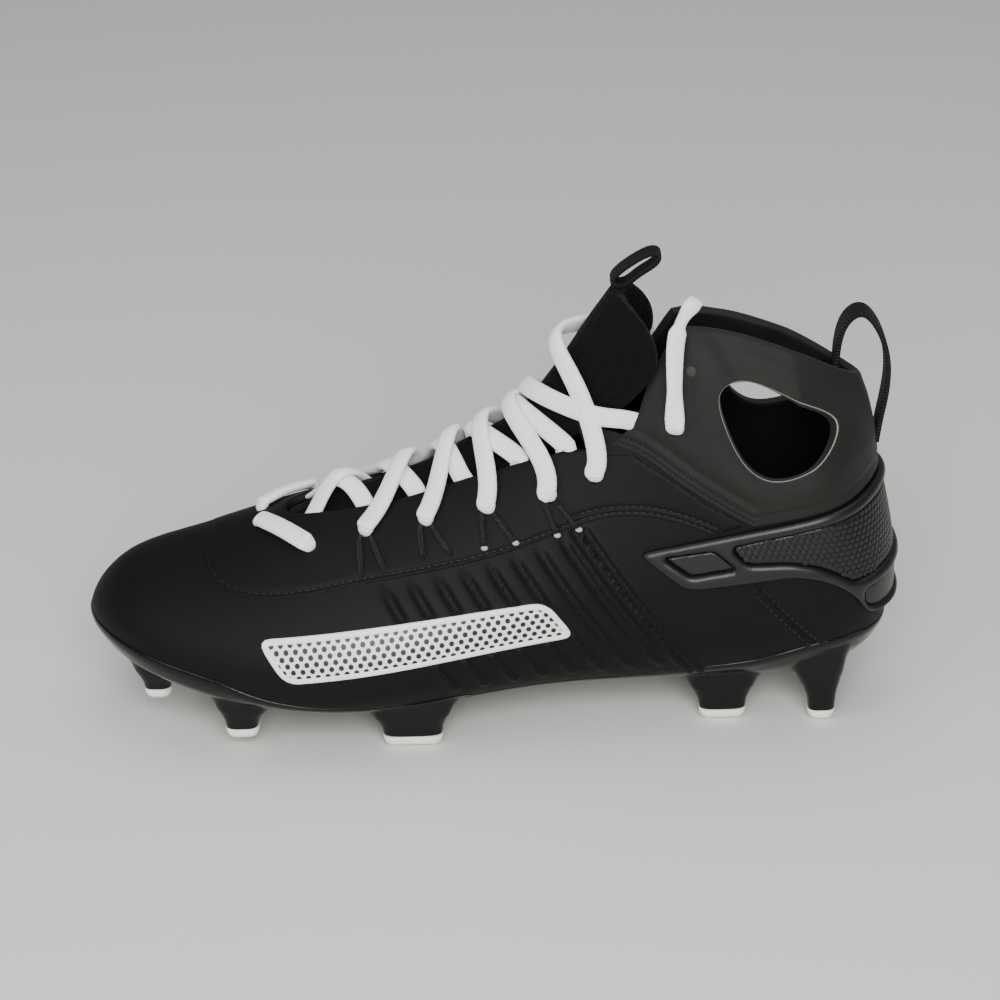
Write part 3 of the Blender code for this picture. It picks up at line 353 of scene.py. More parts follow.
@dataclass
class Patch:
    """A net of triangles laid on the shoe's form; each point knows its place in the pattern."""

    data: np.ndarray
    tris: np.ndarray

    @property
    def points(self) -> np.ndarray:
        """The points, in millimetres in the part's frame."""
        return self.data[:, 0:3]

    @property
    def normals(self) -> np.ndarray:
        """The outward normals."""
        return self.data[:, 3:6]

    @property
    def station(self) -> np.ndarray:
        """The stations."""
        return self.data[:, 6]

    @property
    def across(self) -> np.ndarray:
        """The places across."""
        return self.data[:, 7]

    @property
    def height(self) -> np.ndarray:
        """The heights."""
        return self.data[:, 8]

    @property
    def side_view(self) -> np.ndarray:
        """Station and height."""
        return self.data[:, [6, 8]]

    def clip(self, keep: np.ndarray, both: bool = False) -> "Patch":
        """Cuts the net along the zero line of a value.

        Args:
            keep: a value for each point, positive where the net stays.
            both: keeps the other part too, so that the line is only scored into the net.

        Returns:
            The part that stays.
        """
        keep = np.where(np.abs(keep) < 1e-5, 1e-5, keep)
        inside = keep > 0
        count = inside[self.tris].sum(axis=1)
        parts = [self.tris[count == 3]]
        if both:
            parts.append(self.tris[count == 0])
        pairs = []
        size = len(self.data)
        made = 0
        for kept in (1, 2):
            some = self.tris[count == kept]
            odd = inside[some] if kept == 1 else ~inside[some]
            first = np.argmax(odd, axis=1)
            turned = np.stack([some[np.arange(len(some)), (first + k) % 3] for k in range(3)], axis=1)
            a, b, c = turned.T
            ab = size + made + np.arange(len(some))
            ac = ab + len(some)
            made += 2 * len(some)
            pairs += [np.stack([a, b], axis=1), np.stack([a, c], axis=1)]
            if kept == 1 or both:
                parts.append(np.stack([a, ab, ac], axis=1))
            if kept == 2 or both:
                parts += [np.stack([ab, b, c], axis=1), np.stack([ab, c, ac], axis=1)]
        pairs = np.sort(np.concatenate(pairs), axis=1)
        edges, where = np.unique(pairs, axis=0, return_inverse=True)
        low, high = edges.T
        share = (keep[low] / (keep[low] - keep[high]))[:, None]
        data = np.concatenate([self.data, self.data[low] * (1 - share) + self.data[high] * share])
        lookup = np.concatenate([np.arange(size), size + where.ravel()])
        tris = lookup[np.concatenate(parts)]
        used, tris = np.unique(tris, return_inverse=True)
        return Patch(data[used], tris.reshape(-1, 3))

    def rim(self) -> np.ndarray:
        """Finds the net's open edges.

        Returns:
            Pairs of points, each in the direction of its triangle.
        """
        edges = np.concatenate([self.tris[:, [0, 1]], self.tris[:, [1, 2]], self.tris[:, [2, 0]]])
        codes = edges[:, 0] * len(self.data) + edges[:, 1]
        back = edges[:, 1] * len(self.data) + edges[:, 0]
        return edges[~np.isin(codes, back)]

    def wall(self, outer: np.ndarray, inner: np.ndarray) -> tuple:
        """Makes a wall between two offsets of the net, closed along its open edges.

        Args:
            outer: how far out the outer face lies, for each point.
            inner: how far out the inner face lies.

        Returns:
            Points and triangles, those of the outer face first.
        """
        count = len(self.data)
        points = np.concatenate([self.points + self.normals * outer[:, None],
                                 self.points + self.normals * inner[:, None]])
        a, b = self.rim().T
        edge = np.concatenate([np.stack([b, a, a + count], axis=1),
                               np.stack([b, a + count, b + count], axis=1)])
        return points, np.concatenate([self.tris, self.tris[:, ::-1] + count, edge])


@dataclass
class Last:
    """The form that the shoe is built on, from its driving sizes."""

    length: float = 290.0
    ball_width: float = 96.0
    cuff_height: float = 150.0
    pattern_length: float = 290.0
    pattern_ball: float = 92.0
    pattern_cuff: float = 150.0
    middle_station: float = 144.068
    middle_across: float = 3.026
    low_share: float = 0.36
    net: tuple = (260, 260)
    fine: int = 700
    nearest: int = 14
    nearest_reach: float = 2.0
    points: np.ndarray = field(init=False)
    normals: np.ndarray = field(init=False)
    turns: np.ndarray = field(init=False)

    def __post_init__(self) -> None:
        """Lays the net that pieces are placed on."""
        net = self.patch(*self.net, 0.0, 2.0)
        self.points, self.normals = net.points, net.normals
        self.turns = net.data[:, 9]

    def place(self, points: np.ndarray) -> np.ndarray:
        """Turns pattern points into the part's frame.

        Args:
            points: station, across and height of each.

        Returns:
            Millimetres in the part's frame.
        """
        station, across, height = np.moveaxis(np.asarray(points, float), -1, 0)
        x = (self.middle_station - station) * self.length / self.pattern_length
        y = (across - self.middle_across) * self.ball_width / self.pattern_ball
        return np.stack([x, y, height * self.cuff_height / self.pattern_cuff], axis=-1)

    def section(self, row: np.ndarray, turn: np.ndarray) -> np.ndarray:
        """Draws one section of the form.

        Args:
            row: a row of the table of sections.
            turn: 0 at the middle of the foot, 1 at the crest by the lateral flank, 2 at the foot again;
                below 0 it runs up the medial flank.

        Returns:
            Pattern points.
        """
        back_s, back_z, front_s, front_z, lateral, medial, foot, crest, widest, square, full, crown = row
        climb = np.abs(np.where(turn > 1, 2 - turn, turn))
        side = np.where((turn >= 0) & (turn <= 1), -1.0, 1.0)
        angle = np.clip(climb / self.low_share, 0, 1) * math.pi / 2
        power = 2 / square
        t = np.clip((climb - self.low_share) / (1 - self.low_share), 0, 1)
        low = climb < self.low_share
        rise_high = widest + (1 - widest) * (3 * (1 - t) ** 2 * t * full + 3 * (1 - t) * t ** 2 + t ** 3)
        reach_high = (1 - t) ** 3 + 3 * (1 - t) ** 2 * t + 3 * (1 - t) * t ** 2 * crown
        rise = np.where(low, widest * (1 - np.maximum(np.cos(angle), 0) ** power), rise_high)
        reach = np.where(low, np.sin(angle) ** power, reach_high)
        across = foot + (crest - foot) * rise + side * np.where(side < 0, lateral, medial) * reach
        station = back_s + (front_s - back_s) * rise
        return np.stack([station, across, back_z + (front_z - back_z) * rise], axis=1)

    def rows(self, at: np.ndarray) -> np.ndarray:
        """Reads the table of sections smoothly at row numbers."""
        return np.stack([spline(column, at) for column in SECTIONS.T], axis=1)

    def patch(self, rings: int, around: int, start: float, stop: float, first: float = 0.0,
              last: float = len(SECTIONS) - 1.0) -> Patch:
        """Lays an even net on a part of the form.

        Args:
            rings: how many sections.
            around: how many points on each.
            start: the turn where each section starts.
            stop: the turn where it stops; the net is closed where that is a full turn, 2, past the start.
            first: the table row of the first section.
            last: the table row of the last section.

        Returns:
            The net.
        """
        fine_rows = np.linspace(first, last, self.fine)
        flank = np.array([self.section(row, np.array([0.45]))[0] for row in self.rows(fine_rows)])
        run = run_along(flank)
        at = np.interp(np.linspace(0, run[-1], rings), run, fine_rows)
        fine_turns = np.linspace(start, stop, self.fine)
        grid, turns = [], []
        for row in self.rows(at):
            curve = self.section(row, fine_turns)
            run = run_along(curve)
            even = np.interp(np.linspace(0, run[-1], around), run, fine_turns)
            grid.append(self.section(row, even))
            turns.append(even)
        grid = np.array(grid)
        placed = self.place(grid)
        normal = np.cross(np.gradient(placed, axis=1), np.gradient(placed, axis=0))
        size = np.linalg.norm(normal, axis=2, keepdims=True)
        normal = np.where(size > 1e-6, normal / np.maximum(size, 1e-6), (-1.0, 0.0, 0.0))
        closed = stop - start == 2.0
        if closed:
            normal[:, 0] = unit(normal[:, 0] + normal[:, -1])
        outward = np.sign(np.sum(normal * (placed - placed.mean(axis=1, keepdims=True))))
        data = np.concatenate([placed, normal * outward, grid, np.array(turns)[:, :, None]], axis=2)
        number = np.arange(rings * around).reshape(rings, around)
        if closed:
            number[:, -1] = number[:, 0]
        a, b = number[:-1, :-1].ravel(), number[:-1, 1:].ravel()
        c, d = number[1:, 1:].ravel(), number[1:, :-1].ravel()
        tris = np.concatenate([np.stack([a, b, c], axis=1), np.stack([a, c, d], axis=1)])
        if outward < 0:
            tris = tris[:, ::-1]
        return Patch(data.reshape(rings * around, -1), tris)

    def crest(self, station: np.ndarray) -> np.ndarray:
        """Reads where the crest lies across at stations."""
        order = np.argsort(SECTIONS[:, 2])
        return np.interp(station, SECTIONS[order, 2], SECTIONS[order, 7])

    def skin_point(self, some: np.ndarray, aim: np.ndarray, known: list[int], sought: int) -> tuple:
        """Finds a point of the form from two of its coordinates.

        Args:
            some: which points of the net may be used.
            aim: the two known coordinates.
            known: their axes.
            sought: the third axis.

        Returns:
            The point and its outward normal.
        """
        points, normals = self.points[some], self.normals[some]
        apart = np.linalg.norm(points[:, known] - aim, axis=1)
        near = np.argpartition(apart, self.nearest)[:self.nearest]
        share = np.exp(-(apart[near] / self.nearest_reach) ** 2) + 1e-6
        plane = np.column_stack([np.ones(len(near)), points[near][:, known] - aim]) * share[:, None]
        solved = np.linalg.lstsq(plane, points[near, sought] * share, rcond=None)[0]
        point = np.zeros(3)
        point[known] = aim
        point[sought] = solved[0]
        normal = (normals[near] * share[:, None]).sum(axis=0)
        return point, normal / np.linalg.norm(normal)

    def drop(self, point: np.ndarray, some: np.ndarray) -> tuple:
        """Drops a point that is close to the form onto it.

        Args:
            point: the point, in the part's frame.
            some: which points of the net may be used.

        Returns:
            The point on the form and its outward normal.
        """
        points, normals = self.points[some], self.normals[some]
        apart = np.linalg.norm(points - point, axis=1)
        near = np.argpartition(apart, self.nearest)[:self.nearest]
        share = (np.exp(-(apart[near] / self.nearest_reach) ** 2) + 1e-6)[:, None]
        normal = (normals[near] * share).sum(axis=0)
        normal /= np.linalg.norm(normal)
        middle = (points[near] * share).sum(axis=0) / share.sum()
        return point - normal * ((point - middle) @ normal), normal

    def on_flank(self, station: float, height: float, side: Side) -> tuple:
        """Finds the point and normal of a flank over a station and height."""
        some = (self.turns < 1) if side is Side.LATERAL else (self.turns > 1)
        return self.skin_point(some, self.place((station, 0, height))[[0, 2]], [0, 2], 1)

    def on_top(self, station: float, across: float) -> tuple:
        """Finds the point and normal that show from above at a station and place across."""
        some = np.abs(self.turns - 1) < 0.62
        return self.skin_point(some, self.place((station, across, 0))[:2], [0, 1], 2)

    def on_under(self, station: float, across: float) -> tuple:
        """Finds the point and normal of the underside at a station and place across."""
        some = (np.abs(self.turns - 1) > 0.66) & (self.points[:, 2] < 34)
        return self.skin_point(some, self.place((station, across, 0))[:2], [0, 1], 2)


class Pieces:
    """The cut lines of the upper's pieces, as values that are positive where a piece stays."""

    def __init__(self, last: Last) -> None:
        """Smooths the pattern's lines once.

        Args:
            last: the shoe's form.
        """
        self.last = last
        self.feather = smooth_line(FEATHER_LINE, 6)
        self.rim_line = smooth_line(RIM_LINE, 8)
        self.seam = np.concatenate([smooth_line(CUFF_SEAM[:4], 8), smooth_line(CUFF_SEAM[3:], 8)[1:]])
        front = smooth_line(CUFF_FRONT, 6)
        self.front = np.concatenate([front, CUFF_FRONT_BEYOND])
        self.window = smooth_line(WINDOW, 8, closed=True)
        edge = smooth_line(EYESTAY_EDGE, 6)
        self.eyestay_line = edge
        self.eyestay = np.concatenate([edge, EYESTAY_TOP])
        half = smooth_line(THROAT_LINE, 6)
        self.throat = np.concatenate([half * (1, -1), half[::-1][:-1]])

    def above_feather(self, patch: Patch) -> np.ndarray:
        """Height above the line where the upper meets the plate."""
        return patch.height - np.interp(patch.station, *self.feather.T)

    def under_rim(self, patch: Patch) -> np.ndarray:
        """Height below the collar's rim."""
        return np.interp(patch.station, *self.rim_line.T) - RIM_TILT * patch.across - patch.height

    def above_seam(self, patch: Patch) -> np.ndarray:
        """Distance above the cuff's lower seam."""
        apart = line_distance(patch.side_view, self.seam)
        return np.where(patch.height > np.interp(patch.station, *self.seam.T), apart, -apart)

    def off_throat(self, patch: Patch) -> np.ndarray:
        """Distance outside the throat."""
        plan = np.stack([patch.station, patch.across - self.last.crest(patch.station)], axis=1)
        return np.where(patch.height > 50, outline_distance(plan, self.throat), 12.0)

    def behind_front(self, patch: Patch) -> np.ndarray:
        """Distance behind the cuff's front edge."""
        return outline_distance(patch.side_view, self.front)

    def off_window(self, patch: Patch) -> np.ndarray:
        """Distance outside the ankle window."""
        return outline_distance(patch.side_view, self.window)

    def in_eyestay(self, patch: Patch) -> np.ndarray:
        """Distance inside the eyestay's lower edge."""
        return -outline_distance(patch.side_view, self.eyestay)

    def off_holes(self, patch: Patch, centres: list, radius: float) -> np.ndarray:
        """Distance outside round holes.

        Args:
            patch: the net.
            centres: the holes' middles, in the part's frame.
            radius: the holes' radius.

        Returns:
            Distances, capped at 12.
        """
        apart = np.full(len(patch.data), 12.0)
        for centre in centres:
            apart = np.minimum(apart, np.linalg.norm(patch.points - centre, axis=1) - radius)
        return apart


@dataclass(frozen=True)
class Finish:
    """A surface finish.

    Colours are sRGB hex values, sizes are millimetres and depth is the bump's depth in millimetres.
    """

    name: str
    colour: str
    roughness: float
    pattern: Pattern
    size: float
    depth: float
    second: str = ""
    slot: str = ""
    sheen: float = 0.0
    coat: float = 0.0
    specular: float = 0.5


# Polyurethane-coated synthetic leather: a fine pressed grain that only breaks up a dull, dark surface.
COATED_SYNTHETIC = Finish("coated_synthetic_leather", "#0b0b0a", 0.60, Pattern.GRAIN, 0.9, 0.07, "#080807",
                          "black_synthetic", specular=0.16)
# Foam-backed microfibre: soft and matt; its colour is greyer than the coated leather, partly for its nap and
# partly as painted light falling on the cuff from above.
BRUSHED_MICROFIBRE = Finish("brushed_microfibre", "#171815", 0.68, Pattern.GRAIN, 0.6, 0.05, "#131411",
                            "black_cuff", sheen=0.05, specular=0.25)
# Cut edge of the microfibre round the windows: a thin pale grey line, partly the foam showing at the cut and
# partly a painted highlight along the rolled edge.
CUT_EDGE_AND_HIGHLIGHT = Finish("cut_foam_edge_and_highlight", "#848580", 0.8, Pattern.GRAIN, 0.5, 0.05, "#6e6f69", "black_cuff")
# Rubbery plug of the unused lace hole, dull grey.
PLUG_RUBBER = Finish("plug_rubber", "#30302d", 0.7, Pattern.MOULDED, 1.0, 0.02, "", "black_cuff",
                     specular=0.3)
# Moulded thermoplastic polyurethane: smooth, with a soft satin gloss.
MOULDED_TPU = Finish("moulded_tpu", "#0d0e0c", 0.38, Pattern.MOULDED, 2.0, 0.02, "", "black_plastic",
                     coat=0.05, specular=0.4)
# Injection-moulded nylon plate: black, smooth and fairly glossy.
MOULDED_NYLON = Finish("moulded_nylon", "#080808", 0.18, Pattern.MOULDED, 3.0, 0.02, "", "black_plastic",
                       coat=0.05, specular=0.25)
# White thermoplastic stud tips, satin from the tool.
WHITE_TPU = Finish("white_tpu", "#f3f2ef", 0.36, Pattern.MOULDED, 1.5, 0.02, "", "white_plastic")
# Polyester knit of the tongue: small stitches in columns, very dark.
TONGUE_KNIT = Finish("polyester_knit", "#080808", 0.9, Pattern.KNIT, 1.3, 0.25, "#040404", "black_knit",
                     sheen=0.02, specular=0.15)
# Brushed lining cloth inside the shoe.
LINING_CLOTH = Finish("brushed_lining", "#0c0c0b", 0.95, Pattern.KNIT, 1.0, 0.15, "#070706", "black_knit",
                      sheen=0.03, specular=0.2)
# Nylon webbing of the pull loops: a tight ribbed weave.
NYLON_WEBBING = Finish("nylon_webbing", "#10100f", 0.65, Pattern.WOVEN, 1.2, 0.25, "#090909", "black_webbing",
                       specular=0.25)
# Oval woven polyester lace: white and smooth, with faint fine ribs across it.
WOVEN_LACE = Finish("woven_polyester_lace", "#eff1ec", 0.75, Pattern.WOVEN, 1.1, 0.06, "#e6e8e3",
                    "white_lace", sheen=0.15)
# Waxed black cord of the lace loops, a little glossy.
WAXED_CORD = Finish("waxed_cord", "#0c0c0b", 0.4, Pattern.BRAID, 0.8, 0.12, "#131312", "black_webbing")
# Bonded polyester thread of the seams.
BONDED_THREAD = Finish("bonded_thread", "#080808", 0.5, Pattern.MOULDED, 0.5, 0.02, "", "black_synthetic")
# Pale heat-cut ends of the lace loops.
MELTED_END = Finish("melted_cord_end", "#9c9e98", 0.35, Pattern.MOULDED, 0.5, 0.02, "", "black_webbing")
# Welded film vent panel: a white film with rows of round punched holes over black mesh.
VENT_FILM = Finish("perforated_film", "#e9ebe6", 0.42, Pattern.PERFORATED, 3.4, 0.15, "#121311",
                   "black_synthetic")
# Plain white border of the vent panel.
FILM_BORDER = Finish("welded_film", "#eef0eb", 0.4, Pattern.MOULDED, 1.0, 0.02, "", "black_synthetic")
# Cloth-covered foam insole.
INSOLE_CLOTH = Finish("insole_cloth", "#232321", 0.95, Pattern.KNIT, 1.2, 0.15, "#171716", "grey_foam")

# What all finishes share: the spread of the sheen and of the coat, and the clouds of the grain per metre.
SHEEN_ROUGHNESS = 0.5
COAT_ROUGHNESS = 0.15
CLOUD_SCALE = 90.0
# A wave texture has about 3.2 bands to a unit; divided by this, one band is two stitches wide.
WAVE_TURN = 6.3
# How far a braid's ribs run along the cord for each step across it.
BRAID_LEAN = 0.8
# Punched holes: two sets of rows, each repeating after this many pitches, and the shares of a pitch between
# which a hole's edge lies.
ROW_STRETCH = 1.3
HOLE_EDGE = (0.25, 0.29)


def add_node(tree: bpy.types.NodeTree, kind: str, settings: dict, links: dict) -> bpy.types.Node:
    """Adds a node.

    Args:
        tree: the material's nodes.
        kind: the node's type.
        settings: attributes, or input values where the key is an input's name or number.
        links: input name or number to the output socket that feeds it.

    Returns:
        The node.
    """
    node = tree.nodes.new(kind)
    for name, value in settings.items():
        if isinstance(name, str) and hasattr(node, name):
            setattr(node, name, value)
        else:
            node.inputs[name].default_value = value
    for name, socket in links.items():
        tree.links.new(socket, node.inputs[name])
    return node


class Dresser:
    """Makes each finish's material once and puts it on pieces."""

    def __init__(self) -> None:
        """Starts with no materials."""
        self.made: dict[str, bpy.types.Material] = {}

    def material(self, finish: Finish) -> bpy.types.Material:
        """Gives a finish's material, made at its first use.

        Args:
            finish: the finish.

        Returns:
            The material.
        """
        if finish.name in self.made:
            return self.made[finish.name]
        material = bpy.data.materials.new(finish.name)
        material.use_nodes = True
        tree = material.node_tree
        shader = tree.nodes["Principled BSDF"]
        shader.inputs["Base Color"].default_value = linear(finish.colour)
        shader.inputs["Roughness"].default_value = finish.roughness
        shader.inputs["Specular IOR Level"].default_value = finish.specular
        shader.inputs["Sheen Weight"].default_value = finish.sheen
        shader.inputs["Sheen Roughness"].default_value = SHEEN_ROUGHNESS
        shader.inputs["Coat Weight"].default_value = finish.coat
        shader.inputs["Coat Roughness"].default_value = COAT_ROUGHNESS
        height, share = self.relief(tree, finish)
        bump = add_node(tree, "ShaderNodeBump", {"Strength": 1.0, "Distance": finish.depth * MM},
                        {"Height": height})
        tree.links.new(bump.outputs["Normal"], shader.inputs["Normal"])
        if finish.second:
            tints = {"data_type": "RGBA", 6: linear(finish.second), 7: linear(finish.colour)}
            tint = add_node(tree, "ShaderNodeMix", tints, {0: share})
            tree.links.new(tint.outputs[2], shader.inputs["Base Color"])
        self.made[finish.name] = material
        return material

    def relief(self, tree: bpy.types.NodeTree, finish: Finish) -> tuple:
        """Draws a finish's pattern.

        Args:
            tree: the material's nodes.
            finish: the finish.

        Returns:
            The socket of the bump's height and the one of the colour share.
        """
        where = add_node(tree, "ShaderNodeTexCoord", {}, {})
        scale = 1 / (finish.size * MM)
        if finish.pattern is Pattern.GRAIN:
            cells = add_node(tree, "ShaderNodeTexVoronoi",
                             {"feature": "SMOOTH_F1", "Scale": scale, "Smoothness": 0.6},
                             {"Vector": where.outputs["Object"]})
            cloud = add_node(tree, "ShaderNodeTexNoise", {"Scale": CLOUD_SCALE, "Detail": 3.0},
                             {"Vector": where.outputs["Object"]})
            return cells.outputs["Distance"], cloud.outputs["Fac"]
        if finish.pattern is Pattern.MOULDED:
            cloud = add_node(tree, "ShaderNodeTexNoise", {"Scale": scale, "Detail": 2.0},
                             {"Vector": where.outputs["Object"]})
            return cloud.outputs["Fac"], cloud.outputs["Fac"]
        if finish.pattern is Pattern.KNIT:
            uneven = {"Scale": scale / WAVE_TURN, "Distortion": 1.5, "Detail": 1.0, "Detail Scale": 1.5}
            across = add_node(tree, "ShaderNodeTexWave", {"bands_direction": "Y", **uneven},
                              {"Vector": where.outputs["Object"]})
            along = add_node(tree, "ShaderNodeTexWave", {"bands_direction": "Z", **uneven},
                             {"Vector": where.outputs["Object"]})
            both = add_node(tree, "ShaderNodeMath", {"operation": "MULTIPLY"},
                            {0: across.outputs["Fac"], 1: along.outputs["Fac"]})
            return both.outputs["Value"], both.outputs["Value"]
        if finish.pattern is Pattern.PERFORATED:
            return self.punched(tree, finish)
        return self.braid(tree, finish)

    def braid(self, tree: bpy.types.NodeTree, finish: Finish) -> tuple:
        """Draws slanting ribs that meet along a cord or tape, from its own map.

        Args:
            tree: the material's nodes.
            finish: the finish.

        Returns:
            The socket of the bump's height and the one of the colour share.
        """
        own = add_node(tree, "ShaderNodeUVMap", {"uv_map": "along"}, {})
        parts = add_node(tree, "ShaderNodeSeparateXYZ", {}, {"Vector": own.outputs["UV"]})
        fold = add_node(tree, "ShaderNodeMath", {"operation": "PINGPONG", 1: 0.5 * finish.size},
                        {0: parts.outputs["Y"]})
        lean = BRAID_LEAN if finish.pattern is Pattern.BRAID else 0.0
        slant = add_node(tree, "ShaderNodeMath", {"operation": "MULTIPLY_ADD", 1: lean},
                         {0: fold.outputs["Value"], 2: parts.outputs["X"]})
        turn = add_node(tree, "ShaderNodeMath", {"operation": "MULTIPLY", 1: 2 * math.pi / finish.size},
                        {0: slant.outputs["Value"]})
        wave = add_node(tree, "ShaderNodeMath", {"operation": "SINE"}, {0: turn.outputs["Value"]})
        share = add_node(tree, "ShaderNodeMapRange", {"From Min": -1.0, "From Max": 0.2},
                         {"Value": wave.outputs["Value"]})
        return wave.outputs["Value"], share.outputs["Result"]

    def punched(self, tree: bpy.types.NodeTree, finish: Finish) -> tuple:
        """Draws staggered rows of round holes on a panel's own map.

        Args:
            tree: the material's nodes.
            finish: the finish, whose size is the pitch of the holes.

        Returns:
            The socket of the bump's height and the one of the colour share.
        """
        own = add_node(tree, "ShaderNodeUVMap", {"uv_map": "along"}, {})
        distances = []
        for shift in (0.0, 0.5):
            rate = (1 / finish.size, 1 / (finish.size * ROW_STRETCH), 0)
            moved = add_node(tree, "ShaderNodeMapping",
                             {"vector_type": "POINT", "Scale": rate, "Location": (shift, shift, 0)},
                             {"Vector": own.outputs["UV"]})
            cell = add_node(tree, "ShaderNodeVectorMath", {"operation": "FRACTION"},
                            {0: moved.outputs["Vector"]})
            middle = add_node(tree, "ShaderNodeVectorMath", {"operation": "SUBTRACT", 1: (0.5, 0.5, 0)},
                              {0: cell.outputs["Vector"]})
            stretch = add_node(tree, "ShaderNodeVectorMath",
                               {"operation": "MULTIPLY", 1: (1.0, ROW_STRETCH, 0)},
                               {0: middle.outputs["Vector"]})
            apart = add_node(tree, "ShaderNodeVectorMath", {"operation": "LENGTH"},
                             {0: stretch.outputs["Vector"]})
            distances.append(apart.outputs["Value"])
        nearest = add_node(tree, "ShaderNodeMath", {"operation": "MINIMUM"}, dict(enumerate(distances)))
        share = add_node(tree, "ShaderNodeMapRange", {"From Min": HOLE_EDGE[0], "From Max": HOLE_EDGE[1]},
                         {"Value": nearest.outputs["Value"]})
        return share.outputs["Result"], share.outputs["Result"]

    def put(self, obj: bpy.types.Object, finish: Finish, *more: Finish) -> None:
        """Puts finishes on a piece.

        Args:
            obj: the piece.
            finish: its first finish.
            more: its other finishes.
        """
        for one in (finish, *more):
            obj.data.materials.append(self.material(one))


DRESSER = Dresser()


def finished(obj: bpy.types.Object, finishes: list[Finish], nodes: list[str],
             sharp: float) -> bpy.types.Object:
    """Dresses a piece, smooths it and hangs it on the part.

    Args:
        obj: the piece.
        finishes: its finishes.
        nodes: the part's nodes that it stands for.
        sharp: the angle in degrees above which an edge stays sharp.

    Returns:
        The object, riding on the part's body.
    """
    DRESSER.put(obj, *finishes)
    obj.data.shade_smooth()
    obj.data.set_sharp_from_angle(angle=math.radians(sharp))
    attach(obj, "root")
    if nodes:
        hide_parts(*nodes)
    LOG.info("%s: %d faces", obj.name, len(obj.data.polygons))
    return obj


def mesh_piece(name: str, points: np.ndarray, faces: np.ndarray, finishes: list[Finish], nodes: list[str],
               which: np.ndarray | None = None, along: np.ndarray | None = None,
               sharp: float = 40.0) -> bpy.types.Object:
    """Makes a piece from points and faces.

    Args:
        name: the piece's name.
        points: points in millimetres in the part's frame.
        faces: triangles or quads, one row each.
        finishes: its finishes.
        nodes: the part's nodes that it stands for.
        which: the finish of each face, by number.
        along: a map for each point, in millimetres.
        sharp: the angle in degrees above which an edge stays sharp.

    Returns:
        The object, riding on the part's body.
    """
    mesh = bpy.data.meshes.new(name)
    corners = faces.shape[1]
    mesh.vertices.add(len(points))
    mesh.vertices.foreach_set("co", (points * MM).astype(np.float32).ravel())
    mesh.loops.add(faces.size)
    mesh.loops.foreach_set("vertex_index", faces.astype(np.int32).ravel())
    mesh.polygons.add(len(faces))
    mesh.polygons.foreach_set("loop_start", np.arange(0, faces.size, corners, dtype=np.int32))
    mesh.update(calc_edges=True)
    if along is not None:
        layer = mesh.uv_layers.new(name="along")
        layer.data.foreach_set("uv", along[faces.ravel()].astype(np.float32).ravel())
    obj = bpy.data.objects.new(name, mesh)
    bpy.context.scene.collection.objects.link(obj)
    if which is not None:
        mesh.polygons.foreach_set("material_index", which.astype(np.int32))
    return finished(obj, finishes, nodes, sharp)


def shell(name: str, patch: Patch, outer: np.ndarray, inner: np.ndarray, finishes: list[Finish],
          nodes: list[str], along: np.ndarray | None = None, pale_edge: np.ndarray | None = None,
          sharp: float = 40.0) -> bpy.types.Object:
    """Makes a wall between two offsets of a net, closed along its open edges.

    Args:
        name: the piece's name.
        patch: the net.
        outer: how far out the outer face lies, for each point.
        inner: how far out the inner face lies.
        finishes: its finishes; the second one is for the outer face along a pale edge.
        nodes: the part's nodes that it stands for.
        along: a map for each point, in millimetres.
        pale_edge: for each point, whether the outer face there shows the second finish.
        sharp: the angle in degrees above which an edge stays sharp.

    Returns:
        The object.
    """
    points, faces = patch.wall(outer, inner)
    which = None
    if pale_edge is not None:
        which = np.zeros(len(faces), int)
        which[:len(patch.tris)] = pale_edge[patch.tris].all(axis=1)
    doubled = None if along is None else np.concatenate([along, along])
    return mesh_piece(name, points, faces, finishes, nodes, which, doubled, sharp)


def ring_faces(count: int, around: int, turned: bool = False) -> np.ndarray:
    """Numbers the quads that skin rings of points and close both ends.

    Args:
        count: how many rings.
        around: points on each.
        turned: whether the rings run the other way round.

    Returns:
        Quads, the skin first and then the ends.
    """
    number = np.arange(count * around).reshape(count, around)
    nxt = np.roll(number, -1, axis=1)
    corners, caps = [number[:-1], nxt[:-1], nxt[1:], number[1:]], (number[0][::-1], number[-1])
    if turned:
        corners, caps = [number[:-1], number[1:], nxt[1:], nxt[:-1]], (number[0], number[-1][::-1])
    ends = [(row[k], row[k + 1], row[around - 2 - k], row[around - 1 - k])
            for row in caps for k in range(around // 2 - 1)]
    return np.concatenate([np.stack(corners, axis=-1).reshape(-1, 4), ends])


def tube(path: np.ndarray, up: np.ndarray, width: np.ndarray, thick: np.ndarray, sides: int,
         square: float = 2.3) -> tuple:
    """Sweeps an oval along a path.

    Args:
        path: the middle line.
        up: the direction of the oval's thin way at each point.
        width: the oval's width at each point.
        thick: its thickness at each point.
        sides: points on each oval.
        square: 2 for an ellipse, more for flatter sides.

    Returns:
        Points, quads and the map along it.
    """
    ahead = unit(np.gradient(path, axis=0))
    side = unit(np.cross(ahead, up))
    lift = np.cross(side, ahead)
    angle = np.arange(sides) * 2 * math.pi / sides
    wide = np.sign(np.cos(angle)) * np.abs(np.cos(angle)) ** (2 / square)
    high = np.sign(np.sin(angle)) * np.abs(np.sin(angle)) ** (2 / square)
    run = run_along(path)
    points = (path[:, None] + side[:, None] * (wide * width[:, None] / 2)[:, :, None]
              + lift[:, None] * (high * thick[:, None] / 2)[:, :, None]).reshape(-1, 3)
    rings = len(path)
    along = np.stack([np.repeat(run, sides), np.tile(np.arange(sides) / sides * 16.0, rings)], axis=1)
    return points, ring_faces(rings, sides), along


def joined(parts: list[tuple]) -> tuple:
    """Joins several sets of points, faces and maps into one.

    Args:
        parts: points, faces and map of each set.

    Returns:
        The joined points, faces and map.
    """
    points, faces, maps, count = [], [], [], 0
    for some, quads, along in parts:
        points.append(some)
        faces.append(quads + count)
        maps.append(along)
        count += len(some)
    return np.concatenate(points), np.concatenate(faces), np.concatenate(maps)


